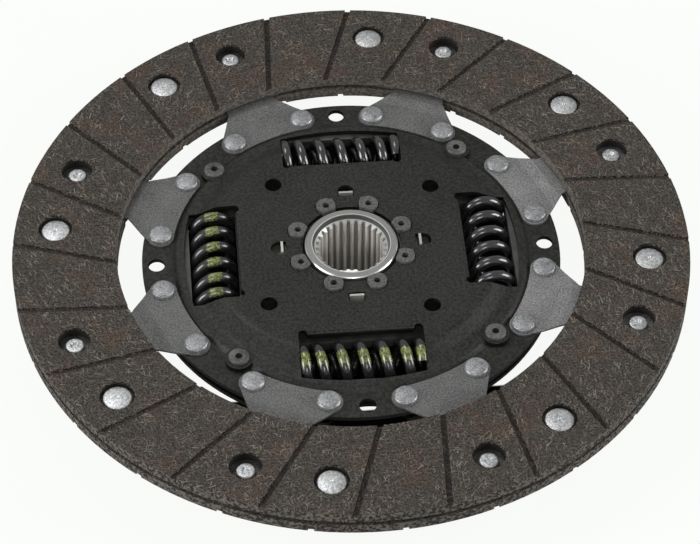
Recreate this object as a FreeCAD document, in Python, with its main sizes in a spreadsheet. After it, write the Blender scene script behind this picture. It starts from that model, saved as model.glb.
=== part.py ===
"""Clutch disc with torsion damper, in millimetres.

Frame: the disc axis is Z, +Z is the flywheel side, and the origin is on the axis
half way between the two facings. The damper springs lie at 0, 90, 180 and 270 degrees.

The disc carries two riveted facings on eight wavy cushion segments. The segments are
riveted to the carrier plate, which four stop pins tie to the counter plate. The splined
hub and its flange turn a few degrees between the two plates against the coil springs.
"""
import FreeCAD, Part
import math
import os
import Sketcher

Vector = FreeCAD.Vector

# Driving dimensions, one spreadsheet row each. Heights are along Z from the origin.
SIZES = {
    # friction facings
    "facing_outer_radius": 114.0,
    "facing_inner_radius": 79.1,
    "facing_thickness": 3.8,
    "cushion_travel": 1.6,
    "groove_count": 24,
    "groove_width": 1.9,
    "groove_depth": 0.9,
    "groove_offset": 26.0,
    "groove_turn": -2.2,
    "cutter_overrun": 3.0,
    # rivets through the facings
    "facing_rivet_inset": 13.6,
    "flywheel_rivet_angle": 36.83,
    "pressure_rivet_angle": 20.97,
    "rivet_seat_radius": 5.75,
    "rivet_seat_depth": 2.5,
    "rivet_head_radius": 4.85,
    "rivet_head_height": 1.3,
    "rivet_shank_radius": 2.4,
    "rivet_hole_clearance": 0.15,
    "rivet_tail_radius": 3.25,
    "rivet_tail_height": 2.2,
    "tail_window_radius": 5.4,
    # cushion segments
    "segment_count": 8,
    "segment_angle": 22.5,
    "segment_thickness": 0.7,
    "segment_root_edge": 4.5,
    "segment_lobe_radius": 4.6,
    "segment_rivet_spread": 11.52,
    "waist_half_width": 9.0,
    "waist_root_step": 1.9,
    "waist_root_half_width": 16.2,
    "waist_facing_gap": 1.8,
    "crank_length": 4.0,
    "crank_facing_gap": 3.5,
    "neck_overlap": 4.9,
    "paddle_inner_inset": 0.9,
    "paddle_outer_inset": 3.0,
    "paddle_low_angle": 8.3,
    "paddle_high_angle": 21.5,
    "paddle_ramp_start": 11.0,
    "paddle_ramp_end": 18.5,
    "segment_rivet_head_radius": 4.0,
    "segment_rivet_head_height": 1.9,
    "rivet_crown_share": 0.62,
    "rivet_brow_share": 0.88,
    "segment_rivet_shank_radius": 2.5,
    "segment_rivet_tail_radius": 3.7,
    "segment_rivet_tail_height": 1.2,
    # carrier plate, on the flywheel side, from its rim inwards
    "plate_thickness": 1.6,
    "rim_gap": 8.3,
    "rivet_edge": 5.5,
    "foot_land": 4.9,
    "ring_slope": 1.4,
    "ring_land": 4.0,
    "plateau_slope": 6.0,
    "carrier_flange_top": -1.3,
    "carrier_plateau_top": 3.75,
    "shoulder_top": 0.45,
    "ring_top": 0.25,
    "plateau_round": 6.0,
    "shoulder_round": 4.0,
    "ring_round": 0.9,
    "slope_lean_share": 0.35,
    "foot_lean_share": 0.75,
    "bore_gap": 1.35,
    "seam_angle": 52.9,
    "rim_hole_radius": 2.8,
    "rim_hole_step": 0.6,
    "mid_hole_radius": 2.9,
    "mid_hole_inset": 10.8,
    "mid_hole_angle": 40.0,
    "lug_notch_clearance": 0.3,
    "tab_slot_back": 1.1,
    "tab_slot_reach": 4.2,
    "tab_slot_half_width": 2.8,
    # counter plate, on the gearbox side
    "counter_rim_step": 0.8,
    "counter_flange_gap": 0.5,
    "counter_dish": 2.2,
    "counter_plateau_step": 0.5,
    "counter_shoulder_inset": 2.0,
    "counter_bore_gap": 0.3,
    "scallop_radius": 15.0,
    "scallop_floor_step": 2.5,
    # spring windows in both plates
    "spring_count": 4,
    "spring_side_clearance": 0.3,
    "window_corner_tuck": 0.5,
    "window_crown_rise": 2.4,
    "window_end_clearance": 0.3,
    "window_relief_radius": 1.5,
    "lip_thickness": 1.6,
    "lip_depth": 2.6,
    "lip_end_gap": 2.2,
    "lip_round": 1.3,
    "outer_lip_depth": 3.0,
    # stop pins between the plates
    "pin_step": 1.07,
    "pin_angle": 47.67,
    "pin_radius": 3.0,
    "pin_neck_radius": 2.2,
    "pin_head_radius": 3.5,
    "pin_head_height": 1.2,
    "pin_dimple_radius": 0.8,
    "pin_dimple_depth": 0.6,
    "pin_pad_radius": 4.6,
    "pin_pad_step": 0.1,
    "pin_pad_overlap": 0.1,
    "pin_pocket_radius": 3.6,
    # hub flange
    "flange_inset": 0.4,
    "flange_gap": 0.45,
    "flange_thickness": 3.6,
    "stop_angle": 8.0,
    "stop_clearance": 0.25,
    "notch_depth": 3.6,
    # damper springs
    "spring_inset": 8.5,
    "spring_outer_radius": 7.8,
    "spring_length": 40.6,
    "spring_wire": 3.6,
    "spring_turns": 6.6,
    "inner_spring_radius": 3.9,
    "inner_spring_wire": 1.9,
    "inner_spring_turns": 9.0,
    "inner_spring_first_angle": 90.0,
    "inner_spring_count": 2,
    # hub
    "spline_teeth": 28,
    "spline_major_radius": 12.1,
    "spline_tooth_height": 1.2,
    "spline_undercut": 1.0,
    "spline_gap_inner": 0.78,
    "spline_gap_outer": 0.45,
    "spline_chamfer": 0.9,
    "spline_chamfer_step": 0.2,
    "hub_wall": 3.55,
    "hub_length": 27.2,
    "hub_stand": 0.45,
    "hub_edge": 0.5,
    "hub_mouth_step": 1.1,
    "hub_mouth_depth": 1.6,
    "hub_collar_width": 3.35,
    "hub_collar_height": 1.1,
    # friction parts round the hub
    "friction_ring_thickness": 1.4,
    "friction_ring_bore_gap": 0.85,
    "friction_ring_margin": 3.5,
    "lug_step": 3.35,
    "lug_angle": 22.5,
    "lug_radius": 3.3,
    "lug_corner_angle": 28.0,
    "lug_stand": 0.8,
    "lug_hole_radius": 1.15,
    "disc_spring_height": 1.0,
    "disc_spring_thickness": 0.5,
    "disc_spring_gap": 0.7,
    "tab_plate_thickness": 0.8,
    "tab_plate_margin": 4.0,
    "tab_step": 4.0,
    "tab_half_width": 2.4,
    "tab_stand": 0.6,
    "washer_bore_gap": 0.95,
    "running_gap": 0.05,
    "collar_gap": 0.4,
    "lower_washer_thickness": 1.15,
    "bush_gap": 0.2,
    "bush_wall": 1.55,
    "bush_seat": 5.6,
}


class Size:
    """A number that also carries its spreadsheet expression."""

    def __init__(self, value, text):
        self.value = float(value)
        self.text = text

    def _join(self, other, sign, value):
        text = other.text if isinstance(other, Size) else repr(float(other))
        return Size(value, "(%s %s %s)" % (self.text, sign, text))

    def __add__(self, other):
        return self._join(other, "+", self.value + number(other))

    def __sub__(self, other):
        return self._join(other, "-", self.value - number(other))

    def __mul__(self, other):
        return self._join(other, "*", self.value * number(other))

    def __truediv__(self, other):
        return self._join(other, "/", self.value / number(other))

    def __neg__(self):
        return Size(-self.value, "(0 - %s)" % self.text)


def number(thing):
    """The plain number of a Size or of a number."""
    return thing.value if isinstance(thing, Size) else float(thing)


def plain(value):
    """A Size that isn't tied to the sheet, for zero and for whole turns."""
    return Size(value, repr(float(value)))


def cosine(angle):
    return Size(math.cos(math.radians(angle.value)), "cos(%s * 1 deg)" % angle.text)


def sine(angle):
    return Size(math.sin(math.radians(angle.value)), "sin(%s * 1 deg)" % angle.text)


def root(square):
    return Size(math.sqrt(square.value), "sqrt(%s)" % square.text)


ZERO = plain(0)

doc = FreeCAD.newDocument("clutch_disc")
sheet = doc.addObject("Spreadsheet::Sheet", "Sizes")
for row, (alias, value) in enumerate(SIZES.items(), start=1):
    sheet.set("A%d" % row, alias)
    sheet.set("B%d" % row, str(value))
    sheet.setAlias("B%d" % row, alias)
doc.recompute()


derived = {}


def size(alias):
    """The size of that name, worked out from others or read from the sheet's cell."""
    if alias in derived:
        return derived[alias]
    return Size(float(sheet.get(alias)), "Sizes." + alias)


def bind(thing, prop, measure):
    """Set a property and tie it to the sheet."""
    if isinstance(measure, Size):
        thing.setExpression(prop, measure.text)


# Radii that follow from the driving dimensions, from the facings to the damper springs
derived["facing_rivet_circle"] = size("facing_outer_radius") - size("facing_rivet_inset")
derived["paddle_outer_radius"] = size("facing_outer_radius") - size("paddle_outer_inset")
derived["paddle_inner_radius"] = size("facing_inner_radius") + size("paddle_inner_inset")
derived["neck_end"] = size("facing_inner_radius") + size("neck_overlap")
derived["waist_end"] = size("facing_inner_radius") - size("waist_facing_gap")
derived["crank_end"] = size("facing_inner_radius") - size("crank_facing_gap")
derived["crank_start"] = size("crank_end") - size("crank_length")
derived["carrier_rim_radius"] = size("facing_inner_radius") - size("rim_gap")
derived["segment_rivet_circle"] = size("carrier_rim_radius") - size("rivet_edge")
derived["segment_inner_radius"] = size("segment_rivet_circle") - size("segment_root_edge")
derived["waist_start"] = size("segment_rivet_circle") + size("waist_root_step")
derived["rim_hole_circle"] = size("segment_rivet_circle") + size("rim_hole_step")
derived["ring_foot_radius"] = size("segment_rivet_circle") - size("foot_land")
derived["ring_radius"] = size("ring_foot_radius") - size("ring_slope")
derived["pin_circle"] = size("ring_radius") + size("pin_step")
derived["shoulder_radius"] = size("ring_radius") - size("ring_land")
derived["carrier_plateau_radius"] = size("shoulder_radius") - size("plateau_slope")
derived["mid_hole_circle"] = size("carrier_plateau_radius") - size("mid_hole_inset")
derived["spring_pitch_radius"] = size("shoulder_radius") - size("spring_inset")
derived["flange_radius"] = size("ring_foot_radius") - size("flange_inset")
derived["notch_floor"] = size("flange_radius") - size("notch_depth")
derived["counter_rim_radius"] = size("carrier_rim_radius") - size("counter_rim_step")
derived["counter_plateau_radius"] = (size("carrier_plateau_radius")
                                     + size("counter_plateau_step"))
derived["counter_shoulder_radius"] = size("shoulder_radius") - size("counter_shoulder_inset")
derived["scallop_circle"] = (size("ring_radius") + size("scallop_floor_step")
                             + size("scallop_radius"))

# Radii that follow from the spline, from the hub outwards
derived["spline_minor_radius"] = size("spline_major_radius") - size("spline_tooth_height")
derived["spline_chamfer_radius"] = size("spline_major_radius") + size("spline_chamfer_step")
derived["hub_mouth_radius"] = size("spline_major_radius") + size("hub_mouth_step")
derived["hub_radius"] = size("spline_major_radius") + size("hub_wall")
derived["hub_collar_radius"] = size("hub_radius") + size("hub_collar_width")
derived["carrier_bore_radius"] = size("hub_radius") + size("bore_gap")
derived["lug_circle"] = size("hub_radius") + size("lug_step")
derived["friction_ring_inner"] = size("hub_radius") + size("friction_ring_bore_gap")
derived["friction_ring_outer"] = size("lug_circle") + size("friction_ring_margin")
derived["tab_radius"] = size("lug_circle") + size("tab_step")
derived["tab_slot_inner"] = size("tab_radius") - size("tab_slot_back")
derived["tab_slot_outer"] = size("tab_radius") + size("tab_slot_reach")
derived["tab_plate_outer"] = size("tab_radius") + size("tab_plate_margin")
derived["disc_spring_outer"] = size("tab_radius") - size("disc_spring_gap")
derived["washer_inner"] = size("hub_radius") + size("washer_bore_gap")
derived["lower_washer_inner"] = size("hub_collar_radius") + size("collar_gap")
derived["bush_inner"] = size("hub_radius") + size("bush_gap")
derived["bush_sleeve"] = size("bush_inner") + size("bush_wall")
derived["bush_flange"] = size("lower_washer_inner") + size("bush_seat")
derived["counter_bore_radius"] = size("bush_sleeve") + size("counter_bore_gap")

# Heights that follow from the driving dimensions
derived["flange_top"] = size("ring_top") - size("plate_thickness") - size("flange_gap")
derived["counter_rim_top"] = (size("flange_top") - size("flange_thickness")
                              - size("counter_flange_gap"))
derived["counter_plateau_top"] = size("counter_rim_top") - size("counter_dish")
derived["lug_top"] = size("carrier_plateau_top") + size("lug_stand")
derived["tab_top"] = size("carrier_plateau_top") + size("tab_stand")
derived["hub_top"] = size("carrier_plateau_top") + size("hub_stand")
derived["hub_bottom"] = size("hub_top") - size("hub_length")
half_travel = size("cushion_travel") / 2
facing_face = half_travel + size("facing_thickness")
plate = size("plate_thickness")
carrier_under = size("carrier_flange_top") - plate
plateau_under = size("carrier_plateau_top") - plate
counter_under = size("counter_rim_top") - plate
counter_plateau_under = size("counter_plateau_top") - plate
flange_under = size("flange_top") - size("flange_thickness")
spring_height = size("flange_top") - size("flange_thickness") / 2
window_half = size("spring_length") / 2 + size("window_end_clearance")
lip_half = window_half - size("lip_end_gap")
spring_side = size("spring_outer_radius") + size("spring_side_clearance")
window_inner = size("spring_pitch_radius") - spring_side
window_straight = size("spring_pitch_radius") + spring_side
segment_top = size("carrier_flange_top") + size("segment_thickness")
low_flat = -half_travel
high_flat = half_travel - size("segment_thickness")
pin_pad_top = size("shoulder_top") + size("pin_pad_step")
slope_lean = plate * size("slope_lean_share")
foot_lean = plate * size("foot_lean_share")
rivet_hole = size("rivet_shank_radius") + size("rivet_hole_clearance")
segment_rivet_hole = size("segment_rivet_shank_radius") + size("rivet_hole_clearance")


# Sketch helpers

def origin_part(body, role):
    """An origin plane or axis of a body, found by its role."""
    return [part for part in body.Origin.OriginFeatures if part.Role == role][0]


def new_body(label):
    body = doc.addObject("PartDesign::Body", label)
    body.Label = label
    return body


def sketch_in(body, name, height=ZERO, turn=ZERO, plane="XY_Plane"):
    """A sketch on an origin plane, lifted by height and turned about its normal."""
    sketch = body.newObject("Sketcher::SketchObject", name)
    sketch.AttachmentSupport = [(origin_part(body, plane), "")]
    sketch.MapMode = "FlatFace"
    sketch.AttachmentOffset = FreeCAD.Placement(
        Vector(0, 0, height.value), FreeCAD.Rotation(Vector(0, 0, 1), turn.value))
    if "Sizes" in height.text:
        bind(sketch, "AttachmentOffset.Base.z", height)
    if "Sizes" in turn.text:
        bind(sketch, "AttachmentOffset.Rotation.Angle", turn)
    return sketch


def hold_point(sketch, edge, end, point):
    """Hold one end of an edge at its two sheet coordinates."""
    for kind, axis, measure in (("DistanceX", -2, point[0]), ("DistanceY", -1, point[1])):
        if abs(measure.value) < 1e-9:
            sketch.addConstraint(Sketcher.Constraint("PointOnObject", edge, end, axis))
            continue
        index = sketch.addConstraint(
            Sketcher.Constraint(kind, -1, 1, edge, end, measure.value))
        bind(sketch, "Constraints[%d]" % index, measure)


def arc_between(first, last, centre, radius, turns_left):
    """The arc of a circle from one point to another."""
    middle = (math.atan2(first.y - centre.y, first.x - centre.x)
              + (sweep_angle(first, last, centre, turns_left)) / 2)
    through = centre + Vector(math.cos(middle), math.sin(middle), 0) * radius
    return Part.ArcOfCircle(first, through, last)


def sweep_angle(first, last, centre, turns_left):
    start = math.atan2(first.y - centre.y, first.x - centre.x)
    end = math.atan2(last.y - centre.y, last.x - centre.x)
    sweep = (end - start) % (2 * math.pi)
    return sweep if turns_left else sweep - 2 * math.pi


def outline(sketch, corners, arcs=()):
    """A closed outline. arcs maps an edge's number to (centre, radius, turns_left)."""
    arcs = dict(arcs)
    points = [Vector(x.value, y.value, 0) for x, y in corners]
    count = len(points)
    starts = []
    for index in range(count):
        here, there = points[index], points[(index + 1) % count]
        if index in arcs:
            (cx, cy), radius, turns_left = arcs[index]
            centre = Vector(cx.value, cy.value, 0)
            edge = arc_between(here, there, centre, radius.value, turns_left)
            added = sketch.addGeometry(edge, False)
            near = sketch.getPoint(added, 1).distanceToPoint(here) < 1e-6
            starts.append((added, 1, 2) if near else (added, 2, 1))
        else:
            added = sketch.addGeometry(Part.LineSegment(here, there), False)
            starts.append((added, 1, 2))
    for index in range(count):
        edge, start, end = starts[index]
        following, next_start, _ = starts[(index + 1) % count]
        sketch.addConstraint(
            Sketcher.Constraint("Coincident", edge, end, following, next_start))
        hold_point(sketch, edge, start, corners[index])
        if index in arcs:
            radius = arcs[index][1]
            held = sketch.addConstraint(Sketcher.Constraint("Radius", edge, radius.value))
            bind(sketch, "Constraints[%d]" % held, radius)


def circle(sketch, centre, radius):
    """A circle held by its centre and radius."""
    where = Vector(centre[0].value, centre[1].value, 0)
    edge = sketch.addGeometry(Part.Circle(where, Vector(0, 0, 1), radius.value), False)
    if abs(where.x) < 1e-9 and abs(where.y) < 1e-9:
        sketch.addConstraint(Sketcher.Constraint("Coincident", edge, 3, -1, 1))
    else:
        hold_point(sketch, edge, 3, centre)
    held = sketch.addConstraint(Sketcher.Constraint("Radius", edge, radius.value))
    bind(sketch, "Constraints[%d]" % held, radius)


def polar(radius, angle):
    """A point at a radius and an angle in degrees."""
    return radius * cosine(angle), radius * sine(angle)


# Feature helpers

def pad(body, sketch, length, name, backwards=False):
    feature = body.newObject("PartDesign::Pad", name)
    feature.Profile = sketch
    feature.Length = length.value
    bind(feature, "Length", length)
    feature.Reversed = backwards
    doc.recompute()
    return feature


def pocket(body, sketch, length, name):
    """Cut downwards from the sketch, and make sure that something was cut."""
    before = body.Shape.Volume
    feature = body.newObject("PartDesign::Pocket", name)
    feature.Profile = sketch
    feature.Length = length.value
    bind(feature, "Length", length)
    doc.recompute()
    if not before - body.Shape.Volume > 1e-4:
        raise ValueError(name + " cuts nothing")
    return feature


def revolve(body, sketch, name):
    feature = body.newObject("PartDesign::Revolution", name)
    feature.Profile = sketch
    feature.ReferenceAxis = (origin_part(body, "Z_Axis"), [""])
    feature.Angle = 360
    doc.recompute()
    return feature


def around(body, features, count, name):
    """Repeat features round the disc axis."""
    pattern = body.newObject("PartDesign::PolarPattern", name)
    pattern.Originals = features
    pattern.Axis = (origin_part(body, "Z_Axis"), [""])
    pattern.Angle = 360
    pattern.Occurrences = int(count.value)
    bind(pattern, "Occurrences", count)
    body.Tip = pattern
    doc.recompute()
    return pattern


def round_edges(body, edges, radius, name):
    """Round the named edges of the body's last feature."""
    base = body.Tip
    feature = body.newObject("PartDesign::Fillet", name)
    feature.Base = (base, edges)
    feature.Radius = radius.value
    bind(feature, "Radius", radius)
    body.Tip = feature
    doc.recompute()
    return feature


def turned_edges(body, radius, height):
    """Names of the full circles round the disc axis at that radius and height."""
    names = []
    for index, edge in enumerate(body.Tip.Shape.Edges, start=1):
        if not isinstance(edge.Curve, Part.Circle):
            continue
        if (abs(edge.Curve.Radius - radius.value) < 1e-3
                and abs(edge.Curve.Center.z - height.value) < 1e-3
                and abs(edge.Curve.Center.x) + abs(edge.Curve.Center.y) < 1e-3):
            names.append("Edge%d" % index)
    return names


def window_edges(body, distance, height):
    """Names of the straight window edges at that distance from the axis and height."""
    names = []
    for index, edge in enumerate(body.Tip.Shape.Edges, start=1):
        ends = [vertex.Point for vertex in edge.Vertexes]
        if len(ends) != 2 or not isinstance(edge.Curve, Part.Line):
            continue
        middle = (ends[0] + ends[1]) * 0.5
        level = max(abs(end.z - height.value) for end in ends) < 1e-3
        if level and abs(math.hypot(middle.x, middle.y) - distance.value) < 1e-3:
            names.append("Edge%d" % index)
    return names


def hole_ring(body, name, holes, count, top, depth):
    """Round holes, each a (hole radius, circle radius, angle), repeated round the axis."""
    sketch = sketch_in(body, name + "_sketch", top)
    for radius, reach, angle in holes:
        circle(sketch, polar(reach, angle), radius)
    cut = pocket(body, sketch, depth, name)
    around(body, [cut], count, name + "_ring")


def profile_body(label, corners):
    """A turned piece: its half section in the XZ plane, revolved about Z."""
    body = new_body(label)
    sketch = sketch_in(body, label + "_section", plane="XZ_Plane")
    outline(sketch, corners)
    revolve(body, sketch, label + "_turned")
    return body


def group(label, unit, spots):
    """Copies of one turned unit, moved to (radius, angle, flipped) spots."""
    solids = []
    for radius, angle, flipped in spots:
        solid = unit.copy()
        if flipped:
            solid.rotate(Vector(0, 0, 0), Vector(1, 0, 0), 180)
        solid.translate(Vector(radius, 0, 0))
        solid.rotate(Vector(0, 0, 0), Vector(0, 0, 1), angle)
        solids.append(solid)
    feature = doc.addObject("Part::Feature", label)
    feature.Label = label
    feature.Shape = Part.makeCompound(solids)
    return feature


def ring_angles(first, count):
    return [first + 360.0 * index / count for index in range(int(count))]


# Friction facings

def make_facing(label, own_angle, other_angle, side):
    """One facing. side is +1 on the flywheel side and -1 on the pressure plate side.

    The flywheel facing is modelled as it lies. The other is modelled face up and
    turned over about X, so its angles count the other way round.
    """
    body = new_body(label)
    ring = sketch_in(body, label + "_ring", half_travel)
    circle(ring, (ZERO, ZERO), size("facing_outer_radius"))
    circle(ring, (ZERO, ZERO), size("facing_inner_radius"))
    pad(body, ring, size("facing_thickness"), label + "_blank")

    groove_turn = size("groove_turn")
    groove = sketch_in(body, label + "_groove_line", facing_face, groove_turn)
    low = size("groove_offset") - size("groove_width") / 2
    high = size("groove_offset") + size("groove_width") / 2
    inner = size("facing_inner_radius")
    start = root(inner * inner - high * high) - size("cutter_overrun")
    end = size("facing_outer_radius") + size("cutter_overrun")
    outline(groove, [(start, low), (end, low), (end, high), (start, high)])
    cut = pocket(body, groove, size("groove_depth"), label + "_groove")
    around(body, [cut], size("groove_count"), label + "_grooves")

    circle_radius = size("facing_rivet_circle")
    count = size("segment_count")
    own = own_angle if side > 0 else -own_angle
    other = other_angle if side > 0 else -other_angle
    hole_ring(body, label + "_seats", [(size("rivet_seat_radius"), circle_radius, own)],
              count, facing_face, size("rivet_seat_depth"))
    hole_ring(body, label + "_through_holes",
              [(rivet_hole, circle_radius, own),
               (size("tail_window_radius"), circle_radius, other)],
              count, facing_face, size("facing_thickness"))
    if side < 0:
        body.Placement = FreeCAD.Placement(
            Vector(0, 0, 0), FreeCAD.Rotation(Vector(1, 0, 0), 180))
    return body


facing_flywheel = make_facing("facing_flywheel_side", size("flywheel_rivet_angle"),
                              size("pressure_rivet_angle"), 1)
facing_pressure = make_facing("facing_pressure_side", size("pressure_rivet_angle"),
                              size("flywheel_rivet_angle"), -1)


# Facing rivets: a flat head in the seat, a shank and an upset tail on the segment

def make_facing_rivets(label, angle, flipped):
    web_top = facing_face - size("rivet_seat_depth")
    head_top = web_top + size("rivet_head_height")
    tail_start = high_flat
    tail_end = high_flat - size("rivet_tail_height")
    head, shank = size("rivet_head_radius"), size("rivet_shank_radius")
    tail = size("rivet_tail_radius")
    bevel = size("rivet_head_height") / 3
    unit = profile_body(label + "_unit", [
        (ZERO, tail_end), (tail - bevel, tail_end), (tail, tail_end + bevel),
        (tail, tail_start), (shank, tail_start), (shank, web_top), (head, web_top),
        (head, head_top - bevel), (head - bevel, head_top), (ZERO, head_top)])
    spots = [(number(size("facing_rivet_circle")), each, flipped)
             for each in ring_angles(angle.value, size("segment_count").value)]
    return group(label, unit.Shape, spots)


flywheel_rivets = make_facing_rivets(
    "flywheel_facing_rivets", size("flywheel_rivet_angle"), False)
pressure_rivets = make_facing_rivets(
    "pressure_facing_rivets", size("pressure_rivet_angle"), True)


# Cushion segments, cut from thin spring steel and set up and down in turn

def free_sketch(name, plane=None):
    sketch = doc.addObject("Sketcher::SketchObject", name)
    if plane == "XZ":
        sketch.Placement = FreeCAD.Placement(
            Vector(0, 0, 0), FreeCAD.Rotation(Vector(1, 0, 0), 90))
    if plane == "YZ":
        sketch.Placement = FreeCAD.Placement(
            Vector(0, 0, 0), FreeCAD.Rotation(Vector(1, 1, 1), 120))
    return sketch


def extrusion(name, sketch, direction, forward, backward):
    feature = doc.addObject("Part::Extrusion", name)
    feature.Base = sketch
    feature.DirMode = "Custom"
    feature.Dir = direction
    feature.Solid = True
    feature.LengthFwd = number(forward)
    feature.LengthRev = number(backward)
    bind(feature, "LengthFwd", forward)
    bind(feature, "LengthRev", backward)
    return feature


def boolean(kind, name, base, tool):
    feature = doc.addObject(kind, name)
    feature.Base = base
    feature.Tool = tool
    doc.recompute()
    return feature


def make_segment_shape():
    """The first segment, with its middle on the X axis."""
    thick = size("segment_thickness")
    under = size("carrier_flange_top")
    reach = size("facing_outer_radius")

    # seen from the side: root on the carrier plate, crank, low flat
    side = free_sketch("segment_side", "XZ")
    start, end = size("crank_start"), size("crank_end")
    inner, neck = size("segment_inner_radius") / 2, size("neck_end")
    outline(side, [(inner, under), (start, under), (end, low_flat), (neck, low_flat),
                   (neck, low_flat + thick), (end, low_flat + thick),
                   (start, under + thick), (inner, under + thick)])
    root_sheet = extrusion("segment_root_sheet", side, Vector(0, 1, 0), reach, reach)

    # seen along the radius: low flat, ramp, high flat
    front = free_sketch("segment_front", "YZ")
    ramp_start, ramp_end = size("paddle_ramp_start"), size("paddle_ramp_end")
    outline(front, [(-reach, low_flat), (ramp_start, low_flat), (ramp_end, high_flat),
                    (reach, high_flat), (reach, high_flat + thick),
                    (ramp_end, high_flat + thick), (ramp_start, low_flat + thick),
                    (-reach, low_flat + thick)])
    wave_sheet = extrusion("segment_wave_sheet", front, Vector(1, 0, 0), reach, ZERO)

    # root outline: two rivet lobes, an arc between them and a waist to the neck
    spread, lobe = size("segment_rivet_spread"), size("segment_lobe_radius")
    rivet_circle, inside = size("segment_rivet_circle"), size("segment_inner_radius")
    lobe_x, lobe_y = polar(rivet_circle, spread)
    foot_x, foot_y = polar(inside, spread)
    wide, narrow = size("waist_root_half_width"), size("waist_half_width")
    waist_start, waist_end = size("waist_start"), size("waist_end")
    plan = free_sketch("segment_root_plan")
    outline(plan, [
        (foot_x, -foot_y), (foot_x, foot_y), (waist_start, wide),
        (waist_end, narrow), (neck, narrow), (neck, -narrow),
        (waist_end, -narrow), (waist_start, -wide)],
        {0: ((ZERO, ZERO), inside, True)})
    root_plan = extrusion("segment_root_prism", plan, Vector(0, 0, 1), reach, reach)
    lobes = free_sketch("segment_lobe_plan")
    circle(lobes, (lobe_x, lobe_y), lobe)
    circle(lobes, (lobe_x, -lobe_y), lobe)
    lobe_prism = extrusion("segment_lobe_prism", lobes, Vector(0, 0, 1), reach, reach)

    # paddle outline between the facings
    paddle = free_sketch("segment_paddle_plan")
    near, far = size("paddle_inner_radius"), size("paddle_outer_radius")
    low_edge, high_edge = -size("paddle_low_angle"), size("paddle_high_angle")
    outline(paddle, [polar(near, low_edge), polar(far, low_edge),
                     polar(far, high_edge), polar(near, high_edge)],
            {1: ((ZERO, ZERO), far, True), 3: ((ZERO, ZERO), near, False)})
    paddle_prism = extrusion("segment_paddle_prism", paddle, Vector(0, 0, 1), reach, reach)

    root_area = boolean("Part::Fuse", "segment_root_area", root_plan, lobe_prism)
    root_part = boolean("Part::Common", "segment_root", root_area, root_sheet)
    wave_part = boolean("Part::Common", "segment_wave", paddle_prism, wave_sheet)
    blank = boolean("Part::Fuse", "segment_blank", root_part, wave_part)

    # rivet holes
    holes = free_sketch("segment_holes")
    circle(holes, (lobe_x, lobe_y), segment_rivet_hole)
    circle(holes, (lobe_x, -lobe_y), segment_rivet_hole)
    middle = size("segment_angle")
    facing_circle = size("facing_rivet_circle")
    for angle in (size("pressure_rivet_angle"), size("flywheel_rivet_angle")):
        circle(holes, polar(facing_circle, angle - middle), rivet_hole)
    drill = extrusion("segment_drill", holes, Vector(0, 0, 1), reach, reach)
    return boolean("Part::Cut", "segment_pattern", blank, drill).Shape


segment_shape = make_segment_shape()
segments = []
for index, angle in enumerate(ring_angles(size("segment_angle").value,
                                          size("segment_count").value), start=1):
    segment = doc.addObject("Part::Feature", "cushion_segment_%d" % index)
    segment.Label = "cushion_segment_%d" % index
    segment.Shape = segment_shape
    segment.Placement = FreeCAD.Placement(
        Vector(0, 0, 0), FreeCAD.Rotation(Vector(0, 0, 1), angle))
    segments.append(segment)


# Segment rivets: a low dome on the segment and a flat tail under the carrier plate

def make_segment_rivets():
    head, shank = size("segment_rivet_head_radius"), size("segment_rivet_shank_radius")
    tail = size("segment_rivet_tail_radius")
    top = segment_top + size("segment_rivet_head_height")
    shoulder = segment_top + size("segment_rivet_head_height") / 2
    crown = head * size("rivet_crown_share")
    tail_end = carrier_under - size("segment_rivet_tail_height")
    unit = profile_body("segment_rivet_unit", [
        (ZERO, tail_end), (tail, tail_end), (tail, carrier_under),
        (shank, carrier_under), (shank, segment_top), (head, segment_top),
        (head, segment_top + size("segment_rivet_head_height") / 4),
        (head * size("rivet_brow_share"), shoulder),
        (crown, top - size("segment_rivet_head_height") / 8), (ZERO, top)])
    middle, spread = size("segment_angle").value, size("segment_rivet_spread").value
    spots = []
    for angle in ring_angles(middle, size("segment_count").value):
        for turn in (-spread, spread):
            spots.append((size("segment_rivet_circle").value, angle + turn, False))
    return group("segment_rivets", unit.Shape, spots)


segment_rivets = make_segment_rivets()


# Plates

def cut_windows(body, top, depth, crowned=False):
    """Spring windows, the first on the X axis, crowned or straight on the outside."""
    name = body.Label
    sketch = sketch_in(body, name + "_window_outline", top)
    far, arcs = window_straight, {}
    if crowned:
        far = window_straight - size("window_corner_tuck")
        rise = size("window_crown_rise")
        radius = (window_half * window_half + rise * rise) / (rise * 2)
        arcs = {1: ((far + rise - radius, ZERO), radius, True)}
    outline(sketch, [(window_inner, -window_half), (far, -window_half),
                     (far, window_half), (window_inner, window_half)], arcs)
    window = pocket(body, sketch, depth, name + "_window")
    around(body, [window], size("spring_count"), name + "_windows")


def relieve_corners(body, top, depth):
    """Round notches at the inner corners of each window."""
    name = body.Label
    relief = sketch_in(body, name + "_relief_circles", top)
    reach = window_half - size("window_relief_radius")
    for side in (reach, -reach):
        circle(relief, (window_inner, side), size("window_relief_radius"))
    corner = pocket(body, relief, depth, name + "_relief")
    around(body, [corner], size("spring_count"), name + "_reliefs")


def add_inner_lips(body, top, depth):
    """Strips bent out of the plate along the inner edge of each window."""
    name = body.Label
    sketch = sketch_in(body, name + "_lip_plan", top)
    back = window_inner - size("lip_thickness")
    outline(sketch, [(back, -lip_half), (window_inner, -lip_half),
                     (window_inner, lip_half), (back, lip_half)])
    lip = pad(body, sketch, depth, name + "_lip", backwards=True)
    around(body, [lip], size("spring_count"), name + "_lips")


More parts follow.
